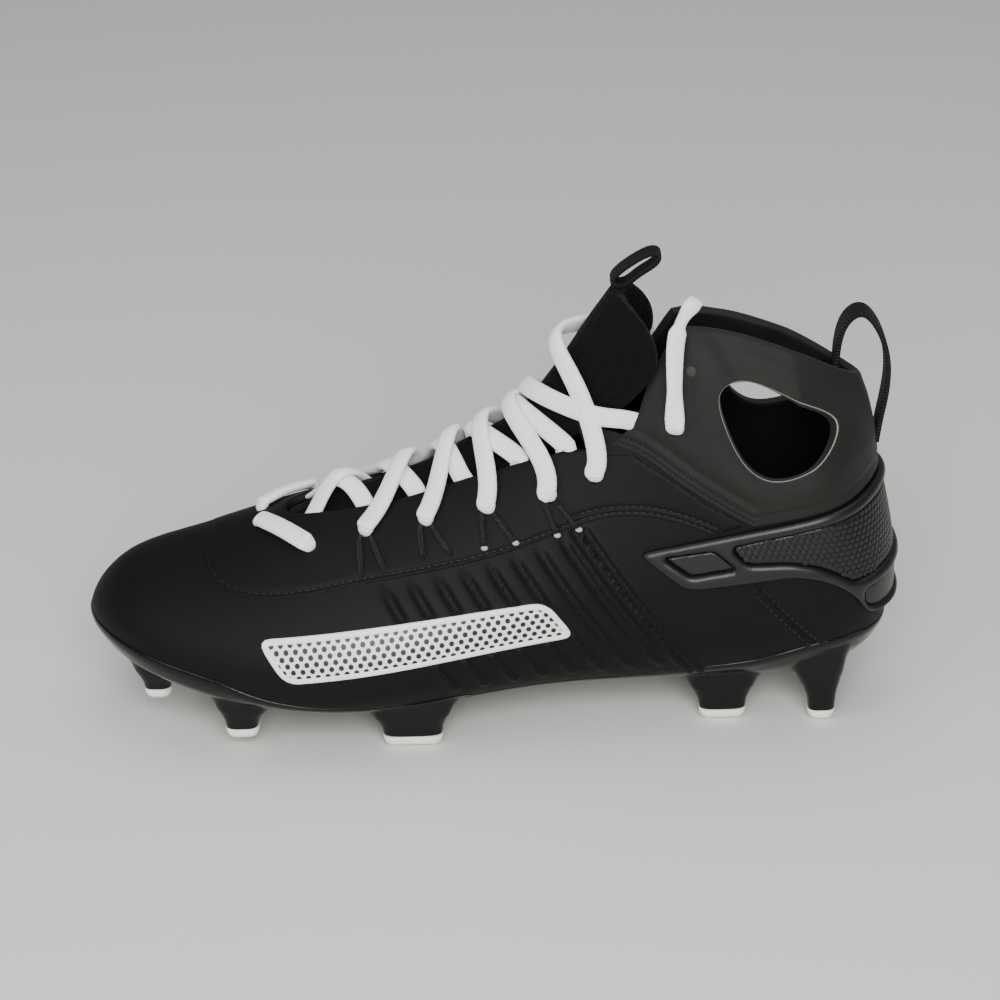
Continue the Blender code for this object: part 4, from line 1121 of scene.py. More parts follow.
def bevel_edges(obj: bpy.types.Object, chosen: np.ndarray, radius: float, segments: int) -> None:
    """Bevels some edges of a mesh in edit mode.

    Args:
        obj: the active object.
        chosen: for each edge, whether it is bevelled.
        radius: how far the bevel reaches, in metres.
        segments: how many steps it has.
    """
    bpy.ops.object.mode_set(mode="EDIT")
    bpy.ops.mesh.select_mode(type="EDGE")
    bpy.ops.mesh.select_all(action="DESELECT")
    bpy.ops.object.mode_set(mode="OBJECT")
    obj.data.edges.foreach_set("select", chosen)
    bpy.ops.object.mode_set(mode="EDIT")
    bpy.ops.mesh.bevel(offset=radius, segments=segments, affect="EDGES")
    bpy.ops.object.mode_set(mode="OBJECT")


def edge_ends(obj: bpy.types.Object) -> np.ndarray:
    """Lists the two end points of every edge of a mesh."""
    points = np.array([vertex.co for vertex in obj.data.vertices])
    return points[np.array([edge.vertices for edge in obj.data.edges])]


@dataclass(frozen=True)
class Stamp:
    """A small shape that is modelled once and set in many places."""

    points: np.ndarray
    faces: np.ndarray

    @classmethod
    def taken(cls) -> "Stamp":
        """Takes the active object's mesh as triangles in millimetres, and removes the object.

        Returns:
            The shape.
        """
        bpy.ops.object.mode_set(mode="EDIT")
        bpy.ops.mesh.select_all(action="SELECT")
        bpy.ops.mesh.quads_convert_to_tris(quad_method="FIXED", ngon_method="CLIP")
        bpy.ops.object.mode_set(mode="OBJECT")
        obj = bpy.context.object
        points = np.array([vertex.co for vertex in obj.data.vertices]) / MM
        faces = np.array([face.vertices for face in obj.data.polygons])
        bpy.data.objects.remove(obj)
        return cls(points, faces)

    def at(self, origin: np.ndarray, run: np.ndarray, up: np.ndarray) -> tuple:
        """Sets one copy in its place.

        Args:
            origin: where its middle lies.
            run: the direction of its length.
            up: the direction of its top.

        Returns:
            Points, triangles and a map.
        """
        side = np.cross(up, run)
        side /= np.linalg.norm(side)
        turned = np.stack([np.cross(side, up), side, up])
        points = self.points @ turned + origin
        return points, self.faces, np.zeros((len(points), 2))


@dataclass
class Upper:
    """The coated vamp and quarters, with the cable ribs pressed up on each flank."""

    last: Last
    pieces: Pieces
    net: tuple = (265, 215)
    lining_net: tuple = (150, 120)
    wall: float = 1.8
    tucked: float = 4.0
    rib_height: float = 1.4
    rib_width: float = 1.3
    rib_count: int = 8
    rib_first: float = 172.0
    rib_pitch: float = 10.5
    rib_lean: float = 0.66
    rib_middle: float = 50.0
    rib_foot: float = 27.0
    field_depth: float = 0.4
    line_height: float = 1.2
    line_width: float = 1.0
    rear_lines: tuple = (91.6, 87.4)
    rear_foot: float = 24.0
    rear_top: float = 82.0
    rear_lean: float = 0.69
    quarter_seam: tuple = ((51.5, 61.7), (28.9, 34.0))
    scored: tuple = (0.45, 1.0, 1.7, 2.6)
    lining_in: float = 1.7
    lining_thick: float = 0.9
    lining_back: float = 0.8

    def rib_lines(self) -> list[np.ndarray]:
        """Lays out the ribs, seen from the side, from under the eyestay to just above the plate.

        Returns:
            One line for each rib.
        """
        lines = []
        for number in range(self.rib_count):
            middle = self.rib_first - number * self.rib_pitch
            top = np.interp(middle + 12, *self.pieces.eyestay_line[::-1].T) - 1.0
            foot = self.rib_foot + 0.25 * number
            heights = (top, (top + self.rib_middle) / 2, self.rib_middle, (foot + self.rib_middle) / 2, foot)
            marks = [(middle + (height - self.rib_middle) * self.rib_lean, height) for height in heights]
            lines.append(smooth_line(marks, 3))
        return lines

    def rear_line(self, middle: float) -> np.ndarray:
        """Draws one line of the double ridge behind the ribs."""
        heights = np.array([self.rear_foot, self.rib_middle, self.rear_top])
        return np.stack([middle + (heights - self.rib_middle) * self.rear_lean, heights], axis=1)

    def apart(self, patch: Patch) -> tuple:
        """Measures how far the net's points lie from the pressed lines.

        Args:
            patch: the net.

        Returns:
            Distances from the ribs, the rear lines and the quarter's seam.
        """
        view = patch.side_view
        ribs = np.min([line_distance(view, line) for line in self.rib_lines()], axis=0)
        rear = np.min([line_distance(view, self.rear_line(middle)) for middle in self.rear_lines], axis=0)
        return ribs, rear, line_distance(view, np.array(self.quarter_seam))

    def relief(self, patch: Patch) -> np.ndarray:
        """Works out how far the wall is raised or pressed in; it is plain under the vent panel.

        Args:
            patch: the net.

        Returns:
            Millimetres for each point.
        """
        view = patch.side_view
        ribs, rear, seam = self.apart(patch)
        ribs, rear = np.maximum(ribs - self.scored[0], 0), np.maximum(rear - self.scored[0], 0)
        lines = self.rib_lines()
        corners = np.array([lines[0][-1], lines[0][0], lines[-1][0], lines[-1][-1]])
        fade = ease(-self.pieces.in_eyestay(patch) / 7.0)
        fade *= ease((self.pieces.above_feather(patch) - 1.5) / 8.0)
        raised = self.rib_height * fade * np.exp(-(ribs / self.rib_width) ** 2)
        raised -= self.field_depth * ease((3.0 - outline_distance(view, corners)) / 6.0)
        panel = ease((outline_distance(view, rounded(list(VENT_CORNERS), VENT_ROUND)) + 0.3) / 1.6)
        raised *= np.where(patch.across < 0, panel, 1.0)
        raised += self.line_height * np.exp(-(rear / self.line_width) ** 2)
        groove = -0.55 * np.exp(-(seam / 0.8) ** 2) + 0.35 * np.exp(-((seam - 2.2) / 1.2) ** 2)
        return raised + groove

    def build(self) -> list[bpy.types.Object]:
        """Builds the outer wall and the lining.

        Returns:
            The two pieces.
        """
        cuts = self.pieces
        patch = self.last.patch(*self.net, 0.0, 2.0)
        patch = patch.clip(cuts.above_feather(patch) + 1.5)
        patch = patch.clip(self.tucked - cuts.above_seam(patch))
        patch = patch.clip(self.tucked - cuts.in_eyestay(patch))
        for level in self.scored:
            patch = patch.clip(np.min(self.apart(patch), axis=0) - level, both=True)
        outer = self.relief(patch)
        inner = np.full(len(outer), -self.wall)
        wall = shell("vamp_and_quarters", patch, outer, inner, [COATED_SYNTHETIC], ["upper"], sharp=70.0)
        return [wall, self.build_lining()]

    def build_lining(self) -> bpy.types.Object:
        """Builds the cloth that lines the wall, set back a little from its edges.

        Returns:
            The piece.
        """
        cuts = self.pieces
        patch = self.last.patch(*self.lining_net, 0.0, 2.0)
        patch = patch.clip(cuts.above_feather(patch))
        for field_of in (cuts.under_rim, cuts.off_throat, cuts.behind_front, cuts.off_window):
            patch = patch.clip(field_of(patch) - self.lining_back)
        outer = np.full(len(patch.data), -self.lining_in)
        return shell("lining", patch, outer, outer - self.lining_thick, [LINING_CLOTH], [])


@dataclass
class Eyestay:
    """The layer round the throat that carries the lace holes."""

    last: Last
    pieces: Pieces
    net: tuple = (330, 240)
    layer: float = 0.35
    depth: float = 1.9
    hole_radius: float = 2.3
    edge: float = 1.0
    rows: tuple = (1.3, 3.3)
    row_depth: float = 0.45

    def build(self) -> bpy.types.Object:
        """Builds the layer with its rounded edges and holes.

        Returns:
            The piece.
        """
        cuts = self.pieces
        patch = self.last.patch(*self.net, 0.25, 1.75, 0.0, 20.0)
        patch = patch.clip(cuts.in_eyestay(patch))
        for field_of in (cuts.off_throat, cuts.behind_front):
            patch = patch.clip(field_of(patch))
        patch = patch.clip(0.6 - cuts.above_seam(patch))
        patch = patch.clip(cuts.off_holes(patch, lace_holes(self.last, eyestay=True), self.hole_radius))
        for level in (0.3, 0.8, *self.rows, 1.8, 2.8, 3.8):
            patch = patch.clip(line_distance(patch.side_view, cuts.eyestay_line) - level, both=True)
        for level in (0.4, 0.9, 1.5):
            opening = np.minimum(cuts.off_throat(patch), cuts.behind_front(patch))
            patch = patch.clip(opening - level, both=True)
        inside = cuts.in_eyestay(patch)
        opening = np.minimum(cuts.off_throat(patch), cuts.behind_front(patch))
        outer = self.layer * roll(inside, self.edge) - 0.9 * (1 - roll(opening, 1.6))
        rear = ease((118 - patch.station) / 6.0)
        apart = line_distance(patch.side_view, cuts.eyestay_line)
        groove = self.row_depth * np.exp(-((apart - self.rows[0]) / 0.5) ** 2)
        groove += self.row_depth * rear * np.exp(-((apart - self.rows[1]) / 0.5) ** 2)
        inner = np.full(len(outer), -self.depth)
        return shell("eyestay_layer", patch, outer - groove, inner, [COATED_SYNTHETIC], ["eyestay"],
                     sharp=60.0)


def lace_holes(last: Last, eyestay: bool) -> list[np.ndarray]:
    """Lists the middles of the lace holes.

    Args:
        last: the shoe's form.
        eyestay: the eyestay's holes if true, otherwise the cuff's.

    Returns:
        Points in the part's frame.
    """
    found = []
    for side in Side:
        if eyestay:
            found += [last.on_flank(*hole, side)[0] for hole in LACE_HOLES[:-1]]
            across = last.crest(FRONT_HOLE[0]) + side.value * FRONT_HOLE[1]
            found.append(last.on_top(FRONT_HOLE[0], across)[0])
        else:
            found.append(last.on_flank(*LACE_HOLES[-1], side)[0])
    return found


@dataclass
class Cuff:
    """The soft ankle cuff with a window on each side."""

    last: Last
    pieces: Pieces
    net: tuple = (270, 280)
    layer: float = 1.5
    depth: float = 2.2
    edge: float = 2.2
    hole_radius: float = 2.3
    band: float = 0.9
    rows: tuple = (1.3, 3.3)
    row_depth: float = 0.6
    rivet_radius: float = 2.0
    # Width of the pale strip along each window's cut edge, which shows the foam and a painted highlight.
    pale_edge_width: float = 0.22

    def model_rivet(self) -> Stamp:
        """Models the flat domed plug of the unused lace hole.

        Returns:
            The shape.
        """
        bpy.ops.object.select_all(action="DESELECT")
        bpy.ops.mesh.primitive_uv_sphere_add(segments=24, ring_count=12, radius=self.rivet_radius * MM)
        bpy.ops.transform.resize(value=(1.0, 1.0, 0.45))
        bpy.ops.object.transform_apply(location=True, rotation=True, scale=True)
        return Stamp.taken()

    def build_rivets(self) -> bpy.types.Object:
        """Sets a plug in the unused hole of each flank.

        Returns:
            The piece.
        """
        rivet = self.model_rivet()
        copies = []
        for side in Side:
            point, normal = self.last.on_flank(*SPARE_HOLE, side)
            copies.append(rivet.at(point + normal * (self.layer + 0.5), np.array((1.0, 0.0, 0.0)), normal))
        points, faces, _ = joined(copies)
        return mesh_piece("hole_plugs", points, faces, [PLUG_RUBBER], [])

    def build(self) -> list[bpy.types.Object]:
        """Builds the plugs, and the cuff with its sewn band, rolled rim, cut windows and lace holes.

        Returns:
            The two pieces.
        """
        cuts = self.pieces
        patch = self.last.patch(*self.net, 0.0, 2.0, 11.0)
        patch = patch.clip(cuts.above_seam(patch))
        for field_of in (cuts.under_rim, cuts.behind_front, cuts.off_window):
            patch = patch.clip(field_of(patch))
        patch = patch.clip(cuts.off_holes(patch, lace_holes(self.last, eyestay=False), self.hole_radius))
        for level in (0.3, 0.8, 1.5, 2.2):
            rim = np.minimum(cuts.under_rim(patch), cuts.behind_front(patch))
            patch = patch.clip(rim - level, both=True)
            patch = patch.clip(cuts.off_window(patch) - level * 0.7, both=True)
        for level in (0.2, 0.5, 0.9, *self.rows, 1.7, 2.9, 3.7, 4.4, 5.2, 6.2, 7.2):
            patch = patch.clip(cuts.above_seam(patch) - level, both=True)
        seam, rim = cuts.above_seam(patch), np.minimum(cuts.under_rim(patch), cuts.behind_front(patch))
        window = cuts.off_window(patch)
        outer = self.band * roll(seam, 0.5) + (self.layer - self.band) * ease((seam - 3.8) / 1.2)
        outer -= 1.6 * (1 - roll(rim, self.edge)) + 0.7 * (1 - roll(window, 0.9))
        pillow = 0.9 * ease((seam - 5.0) / 9.0) * ease((rim - 1.0) / 9.0) * ease((window - 1.0) / 7.0)
        sewn = ease((patch.station - 48) / 6.0)
        ridge = 0.5 * np.exp(-((seam - 5.0) / 0.8) ** 2) - 0.5 * np.exp(-((seam - 7.2) / 1.3) ** 2)
        rows = sum(self.row_depth * np.exp(-((seam - at) / 0.5) ** 2) for at in self.rows)
        inner = np.full(len(outer), -self.depth)
        plugs = self.build_rivets()
        # The windows' edges get the pale grey finish: the cut foam, with a painted highlight along the rolled
        # edge.
        cuff = shell("ankle_cuff_layer", patch, outer + pillow + sewn * (ridge - rows), inner,
                     [BRUSHED_MICROFIBRE, CUT_EDGE_AND_HIGHLIGHT], ["ankle_cuff"], pale_edge=window < self.pale_edge_width, sharp=60.0)
        return [plugs, cuff]


@dataclass
class HeelCounter:
    """The moulded clip round the heel: a frame, a scaled panel between its arms, a diamond and a pad."""

    last: Last
    net: tuple = (290, 300)
    bar_height: float = 1.7
    bar_round: float = 2.3
    panel_height: float = 1.0
    sunk: float = 0.3
    groove: float = 0.6
    scale_pitch: float = 2.35
    scale_height: float = 0.32
    scale_bevel: float = 0.34
    scored: tuple = (-0.6, -0.3, 0.02, 0.3, 0.8, 1.5, 2.3)

    def bar(self, patch: Patch) -> np.ndarray:
        """Measures the net against the clip's frame.

        Args:
            patch: the net.

        Returns:
            Distance inside the frame's bars, negative in the panels between them.
        """
        view = patch.side_view
        value = -outline_distance(view, rounded(COUNTER_EDGE, 4.0))
        for panel, radius in ((COUNTER_WINDOW, 3.0), (COUNTER_DIAMOND, 2.0), (COUNTER_PAD, 2.0)):
            value = np.minimum(value, outline_distance(view, rounded(panel, radius)))
        return value

    def model_scale(self) -> Stamp:
        """Models one six-sided scale with a bevelled top.

        Returns:
            The shape.
        """
        radius = self.scale_pitch / math.sqrt(3) * 0.97
        bpy.ops.object.select_all(action="DESELECT")
        bpy.ops.mesh.primitive_cylinder_add(vertices=6, radius=radius * MM, depth=2 * self.scale_height * MM)
        scale = bpy.context.object
        ends = edge_ends(scale)
        bevel_edges(scale, np.all(ends[:, :, 2] > 0, axis=1), self.scale_bevel * MM, 2)
        return Stamp.taken()

    def scale_places(self) -> list[tuple]:
        """Walks round the heel at the height of each row and notes where a scale lies in the panel.

        Returns:
            The point, the direction of the walk and the normal of each scale.
        """
        panel = rounded(COUNTER_WINDOW, 3.0)
        some = self.last.points[:, 0] > self.last.place((80.0, 0.0, 0.0))[0]
        back = some & (self.last.points[:, 0] > self.last.place((20.0, 0.0, 0.0))[0])
        found = []
        rows = np.arange(61.0, 91.0, self.scale_pitch * math.sqrt(3) / 2)
        for number, height in enumerate(rows):
            for side in Side:
                aim = self.last.place((0.0, 0.0, height))[[1, 2]]
                point, normal = self.last.skin_point(back, aim, [1, 2], 0)
                steps = 0 if number % 2 == 0 else 1
                run = np.array((0.0, float(side.value), 0.0))
                for half_step in range(70):
                    spot = np.array([[self.last.middle_station - point[0], point[2]]])
                    wanted = half_step % 2 == steps and (half_step > 0 or side is Side.LATERAL)
                    if wanted and outline_distance(spot, panel)[0] < -0.5 * self.scale_pitch:
                        found.append((point, run, normal))
                    run = np.cross(normal, (0.0, 0.0, float(side.value)))
                    run *= -1.0 if half_step == 0 and run[1] * side.value < 0 else 1.0
                    run /= np.linalg.norm(run)
                    ahead = point + run * self.scale_pitch / 2
                    ahead[2] = aim[1]
                    point, normal = self.last.drop(ahead, some)
        return found

    def build(self) -> list[bpy.types.Object]:
        """Builds the clip and the scales of its panel.

        Returns:
            The two pieces.
        """
        patch = self.last.patch(*self.net, -0.62, 0.62, 13.0, 25.0)
        patch = patch.clip(patch.height - 40.0)
        patch = patch.clip(-outline_distance(patch.side_view, rounded(COUNTER_EDGE, 4.0)))
        for level in self.scored:
            patch = patch.clip(self.bar(patch) - level, both=True)
        value = self.bar(patch)
        ditch = self.groove * np.clip(1 - np.abs(value + 0.3) / 0.32, 0, 1)
        raised = self.panel_height + self.bar_height * roll(np.maximum(value, 0), self.bar_round) - ditch
        inner = np.full(len(raised), -self.sunk)
        clip = shell("heel_clip", patch, raised, inner, [MOULDED_TPU], ["heel_counter"], sharp=75.0)
        scale = self.model_scale()
        copies = [scale.at(point + normal * self.panel_height, run, normal)
                  for point, run, normal in self.scale_places()]
        points, faces, _ = joined(copies)
        return [clip, mesh_piece("heel_clip_scales", points, faces, [MOULDED_TPU], [], sharp=35.0)]


@dataclass
class Plate:
    """The moulded plate with the flared roots of its studs, and the white stud tips."""

    last: Last
    pieces: Pieces
    net: tuple = (330, 170)
    proud: float = 0.8
    thickness: float = 2.2
    tip_height: float = 4.6
    tip_gap: float = 0.3
    sides: int = 36
    levels: int = 15
    squareness: float = 0.62
    flare: tuple = ((0.0, 0.1, 0.1), (0.25, 0.6, 0.5), (0.5, 2.2, 1.1), (0.7, 4.4, 1.8), (0.87, 7.6, 2.6),
                    (1.0, 11.5, 3.4))
    tip_grow: float = 0.2
    tip_corner: float = 3.6
    tip_foot: float = 3.4

    def ring(self, row: tuple, longer: float, wider: float) -> np.ndarray:
        """Draws a rounded rectangle about a stud's middle.

        Args:
            row: the stud's row.
            longer: growth of its half length.
            wider: growth of its half width.

        Returns:
            Station and across of each point.
        """
        station, across, length, width, _ = row
        angle = (np.arange(self.sides) + 0.5) * 2 * math.pi / self.sides
        cosine = np.sign(np.cos(angle)) * np.abs(np.cos(angle)) ** self.squareness
        sine = np.sign(np.sin(angle)) * np.abs(np.sin(angle)) ** self.squareness
        stations = station + (length / 2 + longer) * cosine
        return np.stack([stations, across + (width / 2 + wider) * sine], axis=1)

    def root(self, row: tuple) -> tuple:
        """Builds a stud's black root, which flares into the plate.

        Args:
            row: the stud's row.

        Returns:
            Points, quads and a map.
        """
        foot = row[4] + self.tip_height + self.tip_gap
        shares = np.linspace(0, 1, self.levels)
        flare = np.array(self.flare)
        rings = []
        for share in shares:
            longer, wider = (np.interp(share, flare[:, 0], flare[:, column]) for column in (1, 2))
            plan = self.ring(row, longer, wider)
            inward = plan[:, 1] - np.sign(row[1]) * 1.5 * (share > 0.99)
            under = np.array([self.last.on_under(s, y)[0][2] for s, y in zip(plan[:, 0], inward)])
            feather = np.interp(plan[:, 0], *self.pieces.feather.T)
            top = np.minimum(under - self.proud + 1.0, feather - 1.0)
            height = foot + (top - foot) * share
            rings.append(self.sunk(self.last.place(np.column_stack([plan, height])), share))
        return self.loft(rings)

    def sunk(self, ring: np.ndarray, share: float) -> np.ndarray:
        """Draws the upper rings of a root in under the plate's face.

        Args:
            ring: the ring's points.
            share: how far up the root it lies, from 0 to 1.

        Returns:
            The ring's points, none of them proud of the plate where the root ends.
        """
        pull = float(ease(np.array((share - 0.55) / 0.4)))
        if pull == 0.0:
            return ring
        reach = np.ptp(ring, axis=0).max() / 2 + 14.0
        near = np.abs(self.last.points - ring.mean(axis=0)).max(axis=1) < reach
        drawn = []
        for point in ring:
            face, normal = self.last.drop(point, near)
            out = (point - face) @ normal - self.proud + 0.5
            drawn.append(point - normal * max(out, 0.0) * pull)
        return np.array(drawn)

    def tip(self, name: str, row: tuple) -> bpy.types.Object:
        """Models a stud's white tip: a block with round corners and a round foot.

        Args:
            name: the stud's name.
            row: the stud's row.

        Returns:
            The object.
        """
        station, across, length, width, above = row
        bpy.ops.object.select_all(action="DESELECT")
        middle = self.last.place((station, across, above + self.tip_height / 2))
        bpy.ops.mesh.primitive_cube_add(size=1.0, location=middle * MM)
        tip = bpy.context.object
        size = np.array((length + 2 * self.tip_grow, width + 2 * self.tip_grow, self.tip_height)) * MM
        bpy.ops.transform.resize(value=size)
        bpy.ops.object.transform_apply(location=True, rotation=True, scale=True)
        ends = edge_ends(tip)
        upright = np.abs(ends[:, 0, 2] - ends[:, 1, 2]) > 0.5 * self.tip_height * MM
        bevel_edges(tip, upright, self.tip_corner * MM, 6)
        ends = edge_ends(tip)
        bevel_edges(tip, np.all(ends[:, :, 2] < (above + 0.01) * MM, axis=1), self.tip_foot * MM, 5)
        tip.name = tip.data.name = f"tip_{name}"
        return finished(tip, [WHITE_TPU], [f"stud_tip_{name}"], 40.0)

    def loft(self, rings: list[np.ndarray]) -> tuple:
        """Skins rings of points and closes both ends.

        Args:
            rings: rings of equal count, from the floor up.

        Returns:
            Points, quads and a map.
        """
        points = np.concatenate(rings)
        return points, ring_faces(len(rings), self.sides, turned=True), np.zeros((len(points), 2))

    def build(self) -> list[bpy.types.Object]:
        """Builds the plate with its roots, and every tip.

        Returns:
            The shell, the roots and the tips.
        """
        made = []
        patch = self.last.patch(*self.net, -0.62, 0.62, 0.0, 24.0)
        patch = patch.clip(-self.pieces.above_feather(patch))
        for level in (0.2, 0.6, 1.4, 2.4):
            patch = patch.clip(-self.pieces.above_feather(patch) - level, both=True)
        below = -self.pieces.above_feather(patch)
        outer = self.proud * roll(below, 2.4) - 0.15 * np.exp(-((below - 4.6) / 1.2) ** 2)
        inner = np.full(len(outer), -self.thickness)
        made.append(shell("plate_shell", patch, outer, inner, [MOULDED_NYLON], [], sharp=70.0))
        roots = joined([self.root(row) for row in STUDS.values()])
        made.append(mesh_piece("stud_roots", roots[0], roots[1], [MOULDED_NYLON], ["sole_plate"]))
        return made + [self.tip(name, row) for name, row in STUDS.items()]


@dataclass
class Tongue:
    """The knit tongue."""

    last: Last
    inset: float = 3.0
    rise: float = 4.5
    rise_half: float = 10.0
    thickness: float = 5.0
    columns: int = 41
    rows_per_gap: int = 9
    edge_angle: float = 1.35
    skin: np.ndarray = field(init=False)
    outward: np.ndarray = field(init=False)

    def __post_init__(self) -> None:
        """Lays the tongue's outer skin once, for itself and for the laces."""
        share = np.linspace(-1, 1, self.columns)
        rows = [list(row) for row in TONGUE_ROWS]
        for row in rows:
            if row[1] is None:
                row[1] = self.last.on_top(row[0], self.last.crest(row[0]))[0][2] - self.inset
        crest = np.array([(row[0], row[1]) for row in rows])
        ahead = unit(np.gradient(crest, axis=0))
        skin, outward = [], []
        for (station, height, half, fall), (run, rise) in zip(rows, ahead):
            middle = self.last.crest(station)
            if fall is None:
                found = [self.last.on_top(station, middle + half * s) for s in share]
                lifts = self.throat_rise(station, share * half)
                skin.append([point - normal * (self.inset - up) for (point, normal), up in zip(found, lifts)])
                outward.append([normal for _, normal in found])
            else:
                up = np.array((rise, 0.0, -run)) * math.copysign(1.0, -run)
                points = np.array((station, middle, height)) - np.outer(fall * share ** 2, up)
                points[:, 1] += half * share
                turn = np.tile((-up[0], 0.0, up[2]), (self.columns, 1))
                turn[:, 1] = share * fall * 2 / half
                skin.append(self.last.place(points))
                outward.append(unit(turn))
        shape = np.array(skin).shape
        self.skin, self.outward = (
            smooth_line(np.reshape(rows_of, (shape[0], -1)), self.rows_per_gap).reshape(-1, *shape[1:])
            for rows_of in (skin, outward))

    def throat_rise(self, station: float, across: np.ndarray) -> np.ndarray:
        """Works out how far the tongue swells up through the throat.

        Args:
            station: the station of the row.
            across: distances from the crest.

        Returns:
            The rise at each of them.
        """
        half = max(np.interp(station, *np.array(sorted(THROAT_LINE)).T), 0.3)
        share = np.minimum(np.abs(across) / half, 1)
        return self.rise * min(half / self.rise_half, 1) ** 2 * np.cos(math.pi / 2 * share) ** 2

    def at(self, station: float, share: float) -> tuple:
        """Finds a point of the tongue.

        Args:
            station: the station of its row's crest.
            share: the share of its half width, negative on the lateral side.

        Returns:
            The point and its normal.
        """
        stations = self.last.middle_station - self.skin[:, self.columns // 2, 0]
        row = int(np.argmin(np.abs(stations - station)))
        columns = np.linspace(-1, 1, self.columns)
        point = np.array([np.interp(share, columns, self.skin[row, :, i]) for i in range(3)])
        normal = np.array([np.interp(share, columns, self.outward[row, :, i]) for i in range(3)])
        return point, normal / np.linalg.norm(normal)

    def build(self) -> bpy.types.Object:
        """Builds the padded tongue.

        Returns:
            The piece.
        """
        angle = np.linspace(-self.edge_angle, self.edge_angle, self.columns)
        thick = self.thickness * np.sqrt(np.cos(angle))
        inner = self.skin - self.outward * thick[:, None]
        rings = np.concatenate([self.skin, inner[:, ::-1]], axis=1)
        faces = ring_faces(*rings.shape[:2])
        tongue = mesh_piece("tongue_pad", rings.reshape(-1, 3), faces, [TONGUE_KNIT], ["tongue"], sharp=80.0)
        return tongue


@dataclass
class Loops:
    """The two loops of webbing, at the heel and at the top of the tongue."""

    last: Last
    heel_width: float = 9.6
    tongue_width: float = 6.4
    thickness: float = 1.8
    corner: float = 0.4
    crown: float = 0.05

    def strip(self, name: str, path: list, across: float, width: float, closed: bool,
              node: str) -> bpy.types.Object:
        """Builds a tape along a side-view path.

        Args:
            name: the piece's name.
            path: station and height of the loop's points.
            across: where its middle lies across.
            width: the tape's width.
            closed: whether it runs back to its start.
            node: the part's node that it stands for.

        Returns:
            The object.
        """
        line = smooth_line(path, 10, closed)
        ahead = np.roll(line, -1, axis=0) - np.roll(line, 1, axis=0) if closed else np.gradient(line, axis=0)
        out = unit(np.stack([ahead[:, 1], -ahead[:, 0]], axis=1))
        half, thin = width / 2, self.thickness / 2
        flat, side, crown = half - self.corner, thin * 0.4, thin + self.crown
        profile = [(-flat, thin), (0, crown), (flat, thin), (half, side), (half, -side),
                   (flat, -thin), (0, -crown), (-flat, -thin), (-half, -side), (-half, side)]
        rings = [[(p[0] + o[0] * lift, across + wide, p[1] + o[1] * lift) for wide, lift in profile]
                 for p, o in zip(line, out)]
        points = self.last.place(rings).reshape(-1, 3)
        count, around = len(line), len(profile)
        quads = ring_faces(count, around)
        if closed:
            number = np.arange(count * around).reshape(count, around)
            corners = [number, np.roll(number, -1, axis=1)]
            corners += [np.roll(ring, -1, axis=0) for ring in corners[::-1]]
            quads = np.stack(corners, axis=-1).reshape(-1, 4)
        run = np.cumsum(np.linalg.norm(np.diff(line, axis=0, prepend=line[-1:]), axis=1))
        along = np.stack([np.repeat(run, around), np.tile([w for w, _ in profile], count)], axis=1)
        area = np.cross(points[quads[0, 1]] - points[quads[0, 0]], points[quads[0, 2]] - points[quads[0, 0]])
        middle = points.reshape(count, around, 3)[0].mean(axis=0)
        if area @ (points[quads[0]].mean(axis=0) - middle) < 0:
            quads = quads[:, ::-1]
        return mesh_piece(name, points, quads, [NYLON_WEBBING], [node], along=along)

    def build(self) -> list[bpy.types.Object]:
        """Builds both loops."""
        return [self.strip("heel_pull_loop", PULL_LOOP, 0.0, self.heel_width, False, "pull_loop"),
                self.strip("tongue_pull_loop", TONGUE_LOOP, 1.0, self.tongue_width, True, "tongue_loop")]


